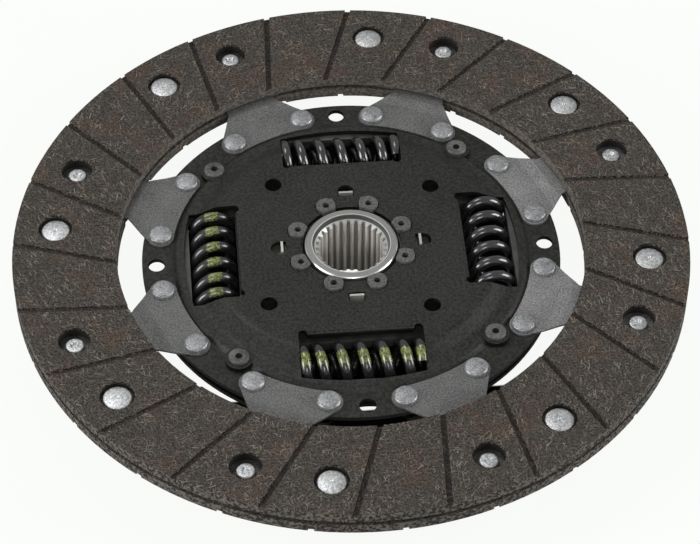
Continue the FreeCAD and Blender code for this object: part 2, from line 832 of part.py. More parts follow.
def lug_outline(sketch, side, radius):
    """A lug beside a tab, round but for a corner where two of its tangents meet.

    side is +1 for the lug after the tab at 0 degrees, and -1 for the one before it.
    """
    middle = polar(size("lug_circle"), size("lug_angle") * side)
    corner = size("lug_corner_angle")
    facing_tab = size("lug_angle") - 90

    def point(reach, turn):
        away = polar(reach, (facing_tab + turn) * side)
        return middle[0] + away[0], middle[1] + away[1]

    outline(sketch, [point(radius, ZERO), point(radius / cosine(corner), corner),
                     point(radius, corner * 2)], {2: (middle, radius, side > 0)})


def make_carrier():
    body = new_body("carrier_plate")
    top, flange = size("carrier_plateau_top"), size("carrier_flange_top")
    ring, shoulder = size("ring_top"), size("shoulder_top")
    bore, rim = size("carrier_bore_radius"), size("carrier_rim_radius")
    section = sketch_in(body, "carrier_section", plane="XZ_Plane")
    # the seam of the turned faces lies between the holes
    section.AttachmentOffset = FreeCAD.Placement(
        Vector(0, 0, 0), FreeCAD.Rotation(Vector(0, 1, 0), size("seam_angle").value))
    bind(section, "AttachmentOffset.Rotation.Angle", size("seam_angle"))
    outline(section, [
        (bore, plateau_under), (size("carrier_plateau_radius") - slope_lean, plateau_under),
        (size("shoulder_radius") - slope_lean, shoulder - plate),
        (size("ring_radius") + foot_lean, ring - plate),
        (size("ring_foot_radius") + foot_lean, carrier_under),
        (rim, carrier_under), (rim, flange), (size("ring_foot_radius"), flange),
        (size("ring_radius"), ring), (size("shoulder_radius"), shoulder),
        (size("carrier_plateau_radius"), top), (bore, top)])
    revolve(body, section, "carrier_pressing")
    for name, radius, height in (("plateau", size("carrier_plateau_radius"), top),
                                 ("shoulder", size("shoulder_radius"), shoulder),
                                 ("ring", size("ring_radius"), ring)):
        round_edges(body, turned_edges(body, radius, height), size(name + "_round"),
                    name + "_bend")
    add_inner_lips(body, top, size("lip_depth"))

    spring_count = size("spring_count")
    pad_spot = polar(size("pin_circle"), size("pin_angle"))
    pad_plan = sketch_in(body, "pin_pad_plan", pin_pad_top)
    circle(pad_plan, pad_spot, size("pin_pad_radius"))
    pad_height = pin_pad_top - flange + size("pin_pad_overlap")
    boss = pad(body, pad_plan, pad_height, "pin_pad", backwards=True)
    around(body, [boss], spring_count, "pin_pads")
    pocket_plan = sketch_in(body, "pin_pocket_plan", flange - size("pin_pad_overlap"))
    circle(pocket_plan, pad_spot, size("pin_pocket_radius"))
    recess = pocket(body, pocket_plan, plate, "pin_pocket")
    around(body, [recess], spring_count, "pin_pockets")

    depth = top - carrier_under
    cut_windows(body, top, depth, crowned=True)
    relieve_corners(body, top, depth)
    round_edges(body, window_edges(body, window_inner, top),
                size("lip_round"), "lip_bend")
    slot = sketch_in(body, "tab_slot_plan", top)
    half = size("tab_slot_half_width")
    inner, outer = size("tab_slot_inner"), size("tab_slot_outer")
    outline(slot, [(inner, -half), (outer - half, -half), (outer - half, half), (inner, half)])
    opening = pocket(body, slot, depth, "tab_slot")
    around(body, [opening], spring_count, "tab_slots")
    hole_ring(body, "carrier_holes",
              [(size("pin_neck_radius"), size("pin_circle"), size("pin_angle")),
               (size("rim_hole_radius"), size("rim_hole_circle"), ZERO),
               (size("mid_hole_radius"), size("mid_hole_circle"), size("mid_hole_angle")),
               (half, outer - half, ZERO)], spring_count, top, depth)
    notches = sketch_in(body, "lug_notch_plan", top)
    for side in (1, -1):
        lug_outline(notches, side, size("lug_radius") + size("lug_notch_clearance"))
    notch = pocket(body, notches, depth, "lug_notch")
    around(body, [notch], spring_count, "lug_notches")
    middle, spread = size("segment_angle"), size("segment_rivet_spread")
    rivet_circle = size("segment_rivet_circle")
    hole_ring(body, "carrier_rivet_holes",
              [(segment_rivet_hole, rivet_circle, middle - spread),
               (segment_rivet_hole, rivet_circle, middle + spread)],
              size("segment_count"), top, depth)
    return body


def make_counter():
    body = new_body("counter_plate")
    top, rim_top = size("counter_plateau_top"), size("counter_rim_top")
    bore, rim = size("counter_bore_radius"), size("counter_rim_radius")
    plateau, shoulder = size("counter_plateau_radius"), size("counter_shoulder_radius")
    section = sketch_in(body, "counter_section", plane="XZ_Plane")
    outline(section, [
        (bore, counter_plateau_under), (plateau + slope_lean, counter_plateau_under),
        (shoulder + slope_lean, counter_under), (rim, counter_under), (rim, rim_top),
        (shoulder, rim_top), (plateau, top), (bore, top)])
    revolve(body, section, "counter_pressing")
    add_inner_lips(body, top, size("outer_lip_depth"))

    # a lip outside each window keeps the spring from being thrown out
    lip = sketch_in(body, "counter_outer_lip_plan", rim_top)
    far = window_straight + size("lip_thickness")
    outline(lip, [(window_straight, -lip_half), (far, -lip_half), (far, lip_half),
                  (window_straight, lip_half)])
    outer_lip = pad(body, lip, size("outer_lip_depth"), "counter_outer_lip", backwards=True)
    around(body, [outer_lip], size("spring_count"), "counter_outer_lips")

    depth = rim_top - counter_plateau_under + size("outer_lip_depth")
    cut_windows(body, rim_top, depth)
    relieve_corners(body, rim_top, depth)
    hole_ring(body, "counter_holes",
              [(size("pin_neck_radius"), size("pin_circle"), size("pin_angle")),
               (size("scallop_radius"), size("scallop_circle"), ZERO)],
              size("spring_count"), rim_top, depth)
    return body


carrier = make_carrier()
counter = make_counter()


# Stop pins: a spacer between the plates with a riveted head on each side

def make_stop_pins():
    body, neck = size("pin_radius"), size("pin_neck_radius")
    head, tall = size("pin_head_radius"), size("pin_head_height")
    dimple, deep = size("pin_dimple_radius"), size("pin_dimple_depth")
    pad_under = size("carrier_flange_top") - size("pin_pad_overlap")
    bevel = tall / 3
    low = counter_under
    unit = profile_body("stop_pin_unit", [
        (ZERO, low - tall), (head - bevel, low - tall), (head, low - tall + bevel),
        (head, low), (neck, low), (neck, size("counter_rim_top")),
        (body, size("counter_rim_top")), (body, pad_under), (neck, pad_under),
        (neck, pin_pad_top), (head, pin_pad_top), (head, pin_pad_top + tall - bevel),
        (head - bevel, pin_pad_top + tall), (dimple, pin_pad_top + tall),
        (dimple, pin_pad_top + tall - deep), (ZERO, pin_pad_top + tall - deep)])
    spots = [(size("pin_circle").value, angle, False)
             for angle in ring_angles(size("pin_angle").value, size("spring_count").value)]
    return group("stop_pins", unit.Shape, spots)


stop_pins = make_stop_pins()


# Hub flange: turns between the plates, pushes the springs and stops on the pins

def make_hub_flange():
    body = new_body("hub_flange")
    top, thick = size("flange_top"), size("flange_thickness")
    blank = sketch_in(body, "flange_blank_plan", top)
    circle(blank, (ZERO, ZERO), size("flange_radius"))
    circle(blank, (ZERO, ZERO), size("hub_radius"))
    pad(body, blank, thick, "flange_blank", backwards=True)

    cut_windows(body, top, thick)

    # the notch is as wide as the pin and its travel both ways
    notch = sketch_in(body, "stop_notch_plan", top, size("pin_angle"))
    floor, reach = size("notch_floor"), size("flange_radius") + size("cutter_overrun")
    travel = size("stop_angle")
    half_gap = size("pin_radius") + size("stop_clearance")
    low_x = floor * cosine(travel)
    low_y = floor * sine(travel) + half_gap
    high_x = reach * cosine(travel)
    high_y = reach * sine(travel) + half_gap
    outline(notch, [(low_x, -low_y), (high_x, -high_y), (high_x, high_y), (low_x, low_y)])
    stop = pocket(body, notch, thick, "stop_notch")
    around(body, [stop], size("spring_count"), "stop_notches")
    return body


hub_flange = make_hub_flange()


# Hub: a turned sleeve with an internal spline

def make_hub():
    top, bottom = size("hub_top"), size("hub_bottom")
    outer, edge = size("hub_radius"), size("hub_edge")
    mouth, chamfer = size("hub_mouth_radius"), size("spline_chamfer")
    minor, wide = size("spline_minor_radius"), size("spline_chamfer_radius")
    collar, collar_low = size("hub_collar_radius"), flange_under - size("hub_collar_height")
    mouth_floor = top - size("hub_mouth_depth")
    body = profile_body("hub", [
        (mouth, top), (outer - edge, top), (outer, top - edge), (outer, flange_under),
        (collar, flange_under), (collar, collar_low), (outer, collar_low),
        (outer, bottom + edge), (outer - edge, bottom), (wide, bottom),
        (minor, bottom + chamfer), (minor, mouth_floor - chamfer), (wide, mouth_floor),
        (mouth, mouth_floor)])
    gap = sketch_in(body, "spline_gap_plan", top)
    inside = minor - size("spline_undercut")
    major = size("spline_major_radius")
    foot, tip = size("spline_gap_inner"), size("spline_gap_outer")
    outline(gap, [(inside, -foot), (minor, -foot), (major, -tip), (major, tip),
                  (minor, foot), (inside, foot)])
    cut = pocket(body, gap, top - bottom, "spline_gap")
    around(body, [cut], size("spline_teeth"), "spline")
    return body


hub = make_hub()


# Damper springs: ground coil springs along the windows

WIRE_SIDES = 6
INNER_WIRE_SIDES = 4


def make_spring_shape(outer_radius, wire, turns, sides):
    """A coil spring along Z with ground ends and a many-sided wire, centred."""
    length = size("spring_length").value
    rise = length + wire
    coil_radius = outer_radius - wire / 2
    pitch = rise / turns
    helix = Part.makeHelix(pitch, rise, coil_radius)
    ring = [Vector(coil_radius + wire / 2 * math.cos(math.radians(360.0 * k / sides)), 0,
                   wire / 2 * math.sin(math.radians(360.0 * k / sides)))
            for k in range(sides)]
    section = Part.Wire(Part.makePolygon(ring + ring[:1]))
    coil = Part.Wire(helix).makePipeShell([section], True, True)
    coil.translate(Vector(0, 0, -rise / 2))
    keep = Part.makeCylinder(outer_radius + wire, length, Vector(0, 0, -length / 2))
    return coil.common(keep)


def place_spring(label, shape, angle):
    spring = doc.addObject("Part::Feature", label)
    spring.Label = label
    lying = shape.copy()
    lying.rotate(Vector(0, 0, 0), Vector(1, 0, 0), 90)
    spring.Shape = lying
    turn = FreeCAD.Rotation(Vector(0, 0, 1), angle)
    reach = turn.multVec(Vector(size("spring_pitch_radius").value, 0, spring_height.value))
    spring.Placement = FreeCAD.Placement(reach, turn).multiply(spring.Placement)
    return spring


def as_solid(shape):
    """The one solid of a boolean's result."""
    return shape.Solids[0] if len(shape.Solids) == 1 else shape


spring_shape = as_solid(make_spring_shape(
    size("spring_outer_radius").value, size("spring_wire").value,
    size("spring_turns").value, WIRE_SIDES))
inner_shape = as_solid(make_spring_shape(
    size("inner_spring_radius").value, size("inner_spring_wire").value,
    size("inner_spring_turns").value, INNER_WIRE_SIDES))
springs = []
for index, angle in enumerate(ring_angles(0.0, size("spring_count").value), start=1):
    springs.append(place_spring("damper_spring_%d" % index, spring_shape, angle))
for index, angle in enumerate(ring_angles(size("inner_spring_first_angle").value,
                                          size("inner_spring_count").value), start=1):
    springs.append(place_spring("inner_spring_%d" % index, inner_shape, angle))


# Friction parts round the hub, from the carrier plate down to the counter plate

def make_friction_ring():
    """A ring under the carrier plate whose eight lugs key into the plate."""
    body = new_body("friction_ring")
    ring = sketch_in(body, "friction_ring_plan", plateau_under)
    inner = size("friction_ring_inner")
    circle(ring, (ZERO, ZERO), size("friction_ring_outer"))
    circle(ring, (ZERO, ZERO), inner)
    pad(body, ring, size("friction_ring_thickness"), "friction_ring_blank", backwards=True)
    lugs = sketch_in(body, "lug_plan", size("lug_top"))
    for side in (1, -1):
        lug_outline(lugs, side, size("lug_radius"))
    height = size("lug_top") - plateau_under + size("friction_ring_thickness") / 2
    posts = pad(body, lugs, height, "lug_pair", backwards=True)
    around(body, [posts], size("spring_count"), "lugs")
    bore = sketch_in(body, "friction_ring_bore_plan", size("lug_top"))
    circle(bore, (ZERO, ZERO), inner)
    depth = size("lug_top") - plateau_under + size("friction_ring_thickness")
    pocket(body, bore, depth, "friction_ring_bore")
    hole_ring(body, "lug_holes",
              [(size("lug_hole_radius"), size("lug_circle"), size("lug_angle"))],
              size("segment_count"), size("lug_top"), depth)
    return body


friction_ring = make_friction_ring()
ring_under = plateau_under - size("friction_ring_thickness")
disc_spring_under = ring_under - size("disc_spring_height")
tab_plate_under = disc_spring_under - size("tab_plate_thickness")

disc_spring = profile_body("disc_spring", [
    (size("carrier_bore_radius"), ring_under - size("disc_spring_thickness")),
    (size("disc_spring_outer"), disc_spring_under),
    (size("disc_spring_outer"), disc_spring_under + size("disc_spring_thickness")),
    (size("carrier_bore_radius"), ring_under)])


def make_tab_plate():
    """A support ring whose four bent tabs reach up through the carrier plate."""
    body = new_body("tab_plate")
    ring = sketch_in(body, "tab_plate_plan", disc_spring_under)
    circle(ring, (ZERO, ZERO), size("tab_plate_outer"))
    circle(ring, (ZERO, ZERO), size("carrier_bore_radius"))
    pad(body, ring, size("tab_plate_thickness"), "tab_plate_blank", backwards=True)
    plan = sketch_in(body, "tab_plan", size("tab_top"))
    near, half = size("tab_radius"), size("tab_half_width")
    far = near + size("tab_plate_thickness")
    outline(plan, [(near, -half), (far, -half), (far, half), (near, half)])
    height = size("tab_top") - disc_spring_under + size("tab_plate_thickness") / 2
    tab = pad(body, plan, height, "tab", backwards=True)
    around(body, [tab], size("spring_count"), "tabs")
    return body


tab_plate = make_tab_plate()
washer_under = size("flange_top") + size("running_gap")
upper_washer = profile_body("upper_friction_washer", [
    (size("washer_inner"), washer_under), (size("tab_plate_outer"), washer_under),
    (size("tab_plate_outer"), tab_plate_under), (size("washer_inner"), tab_plate_under)])

lower_top = flange_under - size("running_gap")
lower_under = lower_top - size("lower_washer_thickness")
lower_washer = profile_body("lower_friction_washer", [
    (size("lower_washer_inner"), lower_under), (size("tab_plate_outer"), lower_under),
    (size("tab_plate_outer"), lower_top), (size("lower_washer_inner"), lower_top)])
guide_bush = profile_body("guide_bush", [
    (size("bush_inner"), counter_plateau_under), (size("bush_sleeve"), counter_plateau_under),
    (size("bush_sleeve"), size("counter_plateau_top")),
    (size("bush_flange"), size("counter_plateau_top")), (size("bush_flange"), lower_under),
    (size("bush_inner"), lower_under)])


# Check every object, then write one file a sub-part

doc.recompute()
parts = [facing_flywheel, facing_pressure, flywheel_rivets, pressure_rivets]
parts += segments
parts += [segment_rivets, carrier, counter, stop_pins, hub_flange, hub]
parts += springs
parts += [friction_ring, disc_spring, tab_plate, upper_washer, lower_washer, guide_bush]

for thing in doc.Objects:
    if "Invalid" in thing.State or "Error" in thing.State:
        raise RuntimeError("%s failed: %s" % (thing.Name, thing.State))
for part in parts:
    if part.Shape.isNull() or not part.Shape.isValid():
        raise RuntimeError(part.Label + " has a bad shape")

os.makedirs("parts", exist_ok=True)
for part in parts:
    part.Shape.exportStep("parts/%s.step" % part.Label)
print("wrote %d sub-parts" % len(parts))
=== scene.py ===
"""Looks of a clutch disc with riveted facings, cushion segments and coil spring damper.

The construction comes from the frame. This script dresses it: it winds the damper springs,
turns the rivets, gives every surface its finish, and sets the camera and the light.
The disc axis is Z and all lengths are in metres.
"""

import logging
import math
from dataclasses import dataclass, field, replace
from enum import Enum
from functools import reduce

import bpy
from bpy.types import Material, Node, NodeSocket as Socket, NodeTree, Object
from mathutils import Matrix, Vector


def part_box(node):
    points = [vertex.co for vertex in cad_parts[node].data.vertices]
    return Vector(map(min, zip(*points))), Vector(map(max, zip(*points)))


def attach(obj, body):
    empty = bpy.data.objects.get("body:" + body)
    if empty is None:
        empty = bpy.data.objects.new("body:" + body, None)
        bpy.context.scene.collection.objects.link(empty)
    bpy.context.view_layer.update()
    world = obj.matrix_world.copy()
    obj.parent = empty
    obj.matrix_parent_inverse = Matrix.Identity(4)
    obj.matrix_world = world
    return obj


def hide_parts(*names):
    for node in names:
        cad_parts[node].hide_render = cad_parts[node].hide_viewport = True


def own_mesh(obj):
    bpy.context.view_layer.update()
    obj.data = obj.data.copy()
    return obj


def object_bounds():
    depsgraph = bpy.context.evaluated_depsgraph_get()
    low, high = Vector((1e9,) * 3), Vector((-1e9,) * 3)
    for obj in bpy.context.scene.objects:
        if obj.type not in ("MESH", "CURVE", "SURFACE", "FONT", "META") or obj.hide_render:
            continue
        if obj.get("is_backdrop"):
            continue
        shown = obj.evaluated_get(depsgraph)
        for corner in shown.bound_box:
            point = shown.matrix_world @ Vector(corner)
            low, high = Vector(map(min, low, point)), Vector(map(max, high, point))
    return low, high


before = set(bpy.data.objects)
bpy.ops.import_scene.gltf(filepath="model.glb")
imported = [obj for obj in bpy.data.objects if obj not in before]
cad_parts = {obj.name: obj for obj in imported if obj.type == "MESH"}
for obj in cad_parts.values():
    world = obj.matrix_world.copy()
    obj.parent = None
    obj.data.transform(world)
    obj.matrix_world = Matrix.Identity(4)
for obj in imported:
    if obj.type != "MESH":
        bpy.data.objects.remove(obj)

LOG = logging.getLogger("clutch_disc")
MM = 0.001
Colour = tuple[float, float, float]
Point = tuple[float, float, float]
Value = float | Socket


# Node trees

class Graph:
    """A shader or group node tree that is filled node by node."""

    def __init__(self, tree: NodeTree) -> None:
        """Start from an empty tree."""
        self.tree = tree
        tree.nodes.clear()

    def feed(self, node: Node, inputs: dict) -> None:
        """Set a node's inputs.

        Args:
            node: the node.
            inputs: socket name or number to a value or to another node's output.
        """
        for name, value in inputs.items():
            socket = node.inputs[name]
            if isinstance(value, Socket):
                self.tree.links.new(value, socket)
            elif socket.type == "RGBA":
                socket.default_value = (*value, 1.0)
            else:
                socket.default_value = value

    def node(self, kind: str, inputs: dict | None = None, **settings) -> Node:
        """Add a node.

        Args:
            kind: the node's type without the ShaderNode prefix, or a full type name.
            inputs: socket name or number to a value or to another node's output.
            settings: the node's own properties.

        Returns:
            The new node.
        """
        full = kind if kind.startswith("Node") else "ShaderNode" + kind
        made = self.tree.nodes.new(full)
        for name, value in settings.items():
            setattr(made, name, value)
        self.feed(made, inputs or {})
        return made

    def group(self, tree: NodeTree, values: dict[str, float]) -> Node:
        """Place a group with its own values."""
        return self.node("Group", values, node_tree=tree)

    def math(self, operation: str, *values: Value, clamp: bool = False) -> Socket:
        """A Math node's value from one to three inputs."""
        return self.node("Math", dict(enumerate(values)), operation=operation,
                         use_clamp=clamp).outputs[0]

    def times(self, *factors: Value) -> Socket:
        """The product of two or more values."""
        return reduce(lambda first, second: self.math("MULTIPLY", first, second), factors)

    def plus(self, first: Value, second: Value) -> Socket:
        """The sum of two values."""
        return self.math("ADD", first, second)

    def minus(self, first: Value, second: Value) -> Socket:
        """The first value less the second."""
        return self.math("SUBTRACT", first, second)

    def band(self, value: Value, low: float, high: float) -> Socket:
        """A smooth step.

        Args:
            value: the value that is stepped.
            low: where the step gives 0, below or above high.
            high: where the step gives 1.

        Returns:
            The step's socket.
        """
        flipped = low > high
        made = self.node("MapRange", {
            "Value": value, "From Min": min(low, high), "From Max": max(low, high),
            "To Min": 1.0 if flipped else 0.0, "To Max": 0.0 if flipped else 1.0},
            interpolation_type="SMOOTHSTEP")
        return made.outputs[0]

    def mix(self, share: Value, first: Colour | Socket, second: Colour | Socket) -> Socket:
        """Two colours mixed, with the share of the second given."""
        made = self.node("Mix", {0: share, 6: first, 7: second}, data_type="RGBA")
        return made.outputs[2]

    def noise(self, vector: Socket, scale: Value, detail: float = 2.0,
              roughness: float = 0.6) -> Socket:
        """A Noise texture's value over a vector."""
        return self.node("TexNoise", {"Vector": vector, "Scale": scale, "Detail": detail,
                                      "Roughness": roughness}).outputs[0]


class Effect:
    """A shader node group with named inputs and outputs, built once and used in many."""

    made: dict[str, NodeTree] = {}

    @classmethod
    def group(cls, name: str, inputs: dict[str, float], outputs: list[str],
              build) -> NodeTree:
        """Make the group, or find it if it is there.

        Args:
            name: the group's name.
            inputs: input names with their usual values.
            outputs: output names.
            build: called with the graph and the input sockets, returns output sockets.

        Returns:
            The group's tree.
        """
        if name in cls.made:
            return cls.made[name]
        tree = bpy.data.node_groups.new(name, "ShaderNodeTree")
        for label, usual in inputs.items():
            socket = tree.interface.new_socket(label, in_out="INPUT",
                                               socket_type="NodeSocketFloat")
            socket.default_value = usual
        for label in outputs:
            tree.interface.new_socket(label, in_out="OUTPUT",
                                      socket_type="NodeSocketFloat")
        graph = Graph(tree)
        start = graph.node("NodeGroupInput")
        end = graph.node("NodeGroupOutput")
        graph.feed(end, dict(enumerate(build(graph, start.outputs))))
        cls.made[name] = tree
        return tree


def object_point(graph: Graph) -> Socket:
    """The point on the surface, in the object's own coordinates."""
    return graph.node("TexCoord").outputs["Object"]


def radius_and_height(graph: Graph) -> tuple[Socket, Socket]:
    """Where the point lies about the disc axis.

    Args:
        graph: the graph that gets the nodes.

    Returns:
        The point's distance from the axis, and its height.
    """
    parts = graph.node("SeparateXYZ", {0: object_point(graph)}).outputs
    flat = graph.node("CombineXYZ", {0: parts[0], 1: parts[1]}).outputs[0]
    radius = graph.node("VectorMath", {0: flat}, operation="LENGTH").outputs["Value"]
    return radius, parts[2]


def levelness(graph: Graph, low: float, high: float) -> Socket:
    """A mask of the level faces.

    Args:
        graph: the graph that gets the nodes.
        low: how upright the normal of a face is that counts as a wall.
        high: how upright the normal of a face is that counts as level.

    Returns:
        A socket that gives 0 on walls and 1 on level faces.
    """
    normal = graph.node("TexCoord").outputs["Normal"]
    upright = graph.node("SeparateXYZ", {0: normal}).outputs[2]
    return graph.band(graph.math("ABSOLUTE", upright), low, high)


def chopped_fibres() -> NodeTree:
    """Short curved strokes, one to a cell, laid round the disc at a slant.

    Inputs are lengths in metres and the slant and spread in radians.

    Returns:
        A group whose Mask is 1 on a stroke, and whose Tone differs from stroke to stroke.
    """
    drawn_out = 0.35
    soft_side, soft_end = 0.35, 0.7

    def build(graph: Graph, given) -> list[Socket]:
        """Fill the group."""
        place = graph.node("VectorMath", {0: object_point(graph), 1: (1.0, 1.0, drawn_out)},
                           operation="MULTIPLY").outputs[0]
        shifted = graph.node("VectorMath", {0: place, 1: given["Shift"]},
                             operation="ADD").outputs[0]
        cells = graph.node("TexVoronoi", {"Vector": shifted, "Scale": given["Cells"],
                                          "Randomness": 1.0}).outputs
        own = graph.node("SeparateColor", {0: cells["Color"]}).outputs
        away = graph.node("VectorMath", {0: shifted, 1: cells["Position"]},
                          operation="SUBTRACT").outputs[0]
        middle = graph.node("SeparateXYZ", {0: cells["Position"]}).outputs
        around = graph.math("ARCTAN2", middle[1], middle[0])
        wander = graph.times(graph.minus(own[0], 0.5), given["Spread"])
        turn = graph.plus(graph.plus(around, given["Slant"]), wander)
        cos_turn, sin_turn = graph.math("COSINE", turn), graph.math("SINE", turn)
        local = graph.node("SeparateXYZ", {0: away}).outputs
        across = graph.plus(graph.times(local[0], cos_turn),
                            graph.times(local[1], sin_turn))
        along = graph.minus(graph.times(local[1], cos_turn),
                            graph.times(local[0], sin_turn))
        bow = graph.times(along, along, given["Bow"])
        off = graph.math("ABSOLUTE", graph.minus(across, bow))
        thin = graph.math("DIVIDE", off, given["Width"])
        reach = graph.math("DIVIDE", graph.math("ABSOLUTE", along), given["Length"])
        kept = graph.math("LESS_THAN", own[1], given["Amount"])
        stroke = graph.times(graph.band(thin, 1.0, soft_side),
                             graph.band(reach, 1.0, soft_end), kept)
        return [stroke, own[2]]

    return Effect.group("chopped_fibres", {
        "Cells": 220.0, "Length": 0.003, "Width": 0.0003, "Slant": 0.0, "Spread": 1.6,
        "Bow": 40.0, "Amount": 0.6, "Shift": 0.0}, ["Mask", "Tone"], build)


def fine_grain() -> NodeTree:
    """Grain at two scales.

    Returns:
        A group whose Fine and Broad lie round 0.5.
    """
    def build(graph: Graph, given) -> list[Socket]:
        """Fill the group."""
        point = object_point(graph)
        return [graph.noise(point, given["Fine scale"], 3.0),
                graph.noise(point, given["Broad scale"])]

    return Effect.group("fine_grain", {"Fine scale": 2500.0, "Broad scale": 90.0},
                        ["Fine", "Broad"], build)


def turned_rings() -> NodeTree:
    """Fine tool marks round the disc axis.

    Returns:
        A group whose Marks lie round 0.5.
    """
    slope = 0.7

    def build(graph: Graph, given) -> list[Socket]:
        """Fill the group."""
        radius, height = radius_and_height(graph)
        run = graph.plus(radius, graph.times(height, slope))
        made = graph.node("TexNoise", {"W": graph.times(run, given["Scale"]),
                                       "Scale": 1.0, "Detail": 3.0},
                          noise_dimensions="1D")
        return [made.outputs[0]]

    return Effect.group("turned_rings", {"Scale": 6000.0}, ["Marks"], build)


# Finishes

@dataclass(frozen=True)
class Finish:
    """What the finishes share: a name and the making of a material with a bump."""

    name: str

    def start(self) -> tuple[Graph, Material, Node]:
        """Make the material.

        Returns:
            Its graph, the material and its Principled shader.
        """
        material = bpy.data.materials.new(self.name)
        material.use_nodes = True
        graph = Graph(material.node_tree)
        shader = graph.node("BsdfPrincipled")
        graph.node("OutputMaterial", {0: shader.outputs[0]})
        return graph, material, shader

    @staticmethod
    def bump(graph: Graph, height: Value, strength: float, distance: float) -> Socket:
        """The normal of a surface raised by a height value."""
        return graph.node("Bump", {"Height": height, "Strength": strength,
                                   "Distance": distance}).outputs[0]


FIBRE_VALUES = ("Cells", "Length", "Width", "Slant", "Spread", "Bow", "Amount", "Shift")
# each layer's values in that order, and last how strongly it shows
FIBRE_LAYERS = (
    (330.0, 1.6 * MM, 0.20 * MM, 0.5, 0.9, 20.0, 0.5, 0.0, 0.52),
    (450.0, 1.2 * MM, 0.18 * MM, -0.5, 1.2, -25.0, 0.55, 0.31, 0.46),
    (600.0, 0.9 * MM, 0.16 * MM, 0.2, 2.2, 30.0, 0.6, 0.73, 0.44),
    (850.0, 0.6 * MM, 0.15 * MM, 0.0, 3.1, 0.0, 0.6, 1.19, 0.46),
)


@dataclass(frozen=True)
class FibreFacing(Finish):
    """Pressed friction lining: brown-black resin with pale chopped fibres."""

    dark: Colour = (0.014, 0.012, 0.010)
    light: Colour = (0.094, 0.083, 0.074)
    russet: Colour = (0.110, 0.062, 0.040)
    moss: Colour = (0.062, 0.060, 0.046)
    pale_fibre: Colour = (0.36, 0.33, 0.285)
    gold_fibre: Colour = (0.27, 0.21, 0.14)
    wall_fleck: Colour = (0.22, 0.20, 0.17)
    outer_fleck: Colour = (0.165, 0.152, 0.137)
    russet_share: float = 0.55
    moss_share: float = 0.40
    least_fibre: float = 0.25
    least_tone: float = 0.2
    # groove_shade and wall_shade are shares of painted shade, on the groove floors and on
    # the walls
    groove_shade: float = 0.42
    wall_shade: float = 0.8
    roughness: float = 0.88
    grain_gloss: float = 0.12
    specular: float = 0.25
    relief: float = 0.6
    face_height: float = 4.6 * MM
    groove_floor: float = 3.7 * MM
    inner_rim: float = 79.6 * MM
    outer_rim: float = 113.4 * MM

    def build(self) -> Material:
        """Make the material.

        Returns:
            The material.
        """
        graph, material, shader = self.start()
        grain = graph.group(fine_grain(), {"Fine scale": 1700.0, "Broad scale": 75.0})
        fine = graph.band(grain.outputs["Fine"], 0.30, 0.70)
        level = levelness(graph, 0.3, 0.8)
        resin = self.resin(graph, fine, grain.outputs["Broad"])
        strewn, height = self.strewn(graph, resin, grain.outputs["Fine"], level)
        graph.feed(shader, {
            "Base Color": self.cut(graph, strewn, level),
            "Roughness": graph.plus(graph.times(fine, -self.grain_gloss), self.roughness),
            "Specular IOR Level": self.specular,
            "Normal": self.bump(graph, graph.times(height, self.relief), 0.5, 0.12 * MM)})
        return material

    def resin(self, graph: Graph, fine: Socket, broad: Socket) -> Socket:
        """The resin with its russet and mossy patches.

        Args:
            graph: the material's graph.
            fine: the fine grain's mask.
            broad: the broad grain.

        Returns:
            The colour's socket.
        """
        base = graph.mix(fine, self.dark, self.light)
        for end, share, tint in ((0.66, self.russet_share, self.russet),
                                 (0.36, self.moss_share, self.moss)):
            patch = graph.times(graph.band(broad, 0.50, end), share, fine)
            base = graph.mix(patch, base, tint)
        return base

    def strewn(self, graph: Graph, base: Socket, height: Socket,
               level: Socket) -> tuple[Socket, Socket]:
        """The layers of fibres, in clusters on the level faces.

        Args:
            graph: the material's graph.
            base: the colour under the fibres.
            height: the height under the fibres.
            level: the mask of the level faces.

        Returns:
            The colour and the height with the fibres.
        """
        clusters = graph.band(graph.noise(object_point(graph), 190.0, 3.0), 0.36, 0.66)
        visible = graph.times(level, graph.plus(clusters, self.least_fibre))
        for *values, share in FIBRE_LAYERS:
            fibres = graph.group(chopped_fibres(), dict(zip(FIBRE_VALUES, values))).outputs
            tone = graph.times(graph.plus(fibres["Tone"], self.least_tone), share)
            shown = graph.times(fibres["Mask"], tone, visible)
            strand = graph.mix(fibres["Tone"], self.gold_fibre, self.pale_fibre)
            base = graph.mix(shown, base, strand)
            height = graph.plus(height, shown)
        return base, height

    def cut(self, graph: Graph, base: Socket, level: Socket) -> Socket:
        """The face with painted shade on its groove floors, and the walls: flecked at the
        rims, painted dark as shade in the seats and grooves, with torn flecks.

        Args:
            graph: the material's graph.
            base: the face's colour.
            level: the mask of the level faces.

        Returns:
            The colour's socket.
        """
        point = object_point(graph)
        radius, height = radius_and_height(graph)
        outside = graph.math("GREATER_THAN", radius, self.outer_rim)
        at_rim = graph.plus(graph.math("LESS_THAN", radius, self.inner_rim), outside)
        height = graph.math("ABSOLUTE", height)
        above = graph.band(height, self.groove_floor - 0.1 * MM, self.groove_floor)
        below = graph.band(height, self.face_height, self.face_height - 0.25 * MM)
        # painted shade: the groove floors take the dark tone
        groove = graph.times(above, below, level, self.groove_shade)
        base = graph.mix(groove, base, self.dark)
        fleck = graph.band(graph.noise(point, 900.0), 0.42, 0.60)
        rim = graph.mix(fleck, graph.mix(outside, self.light, self.dark),
                        graph.mix(outside, self.wall_fleck, self.outer_fleck))
        torn = graph.times(graph.band(graph.noise(point, 1300.0), 0.50, 0.60), above)
        # painted shade: walls of the seats and grooves are dark, with torn flecks near the
        # face
        shaded_torn_wall = graph.mix(torn, self.dark, self.wall_fleck)
        wall = graph.times(graph.minus(1.0, level), self.wall_shade)
        return graph.mix(wall, base, graph.mix(at_rim, shaded_torn_wall, rim))


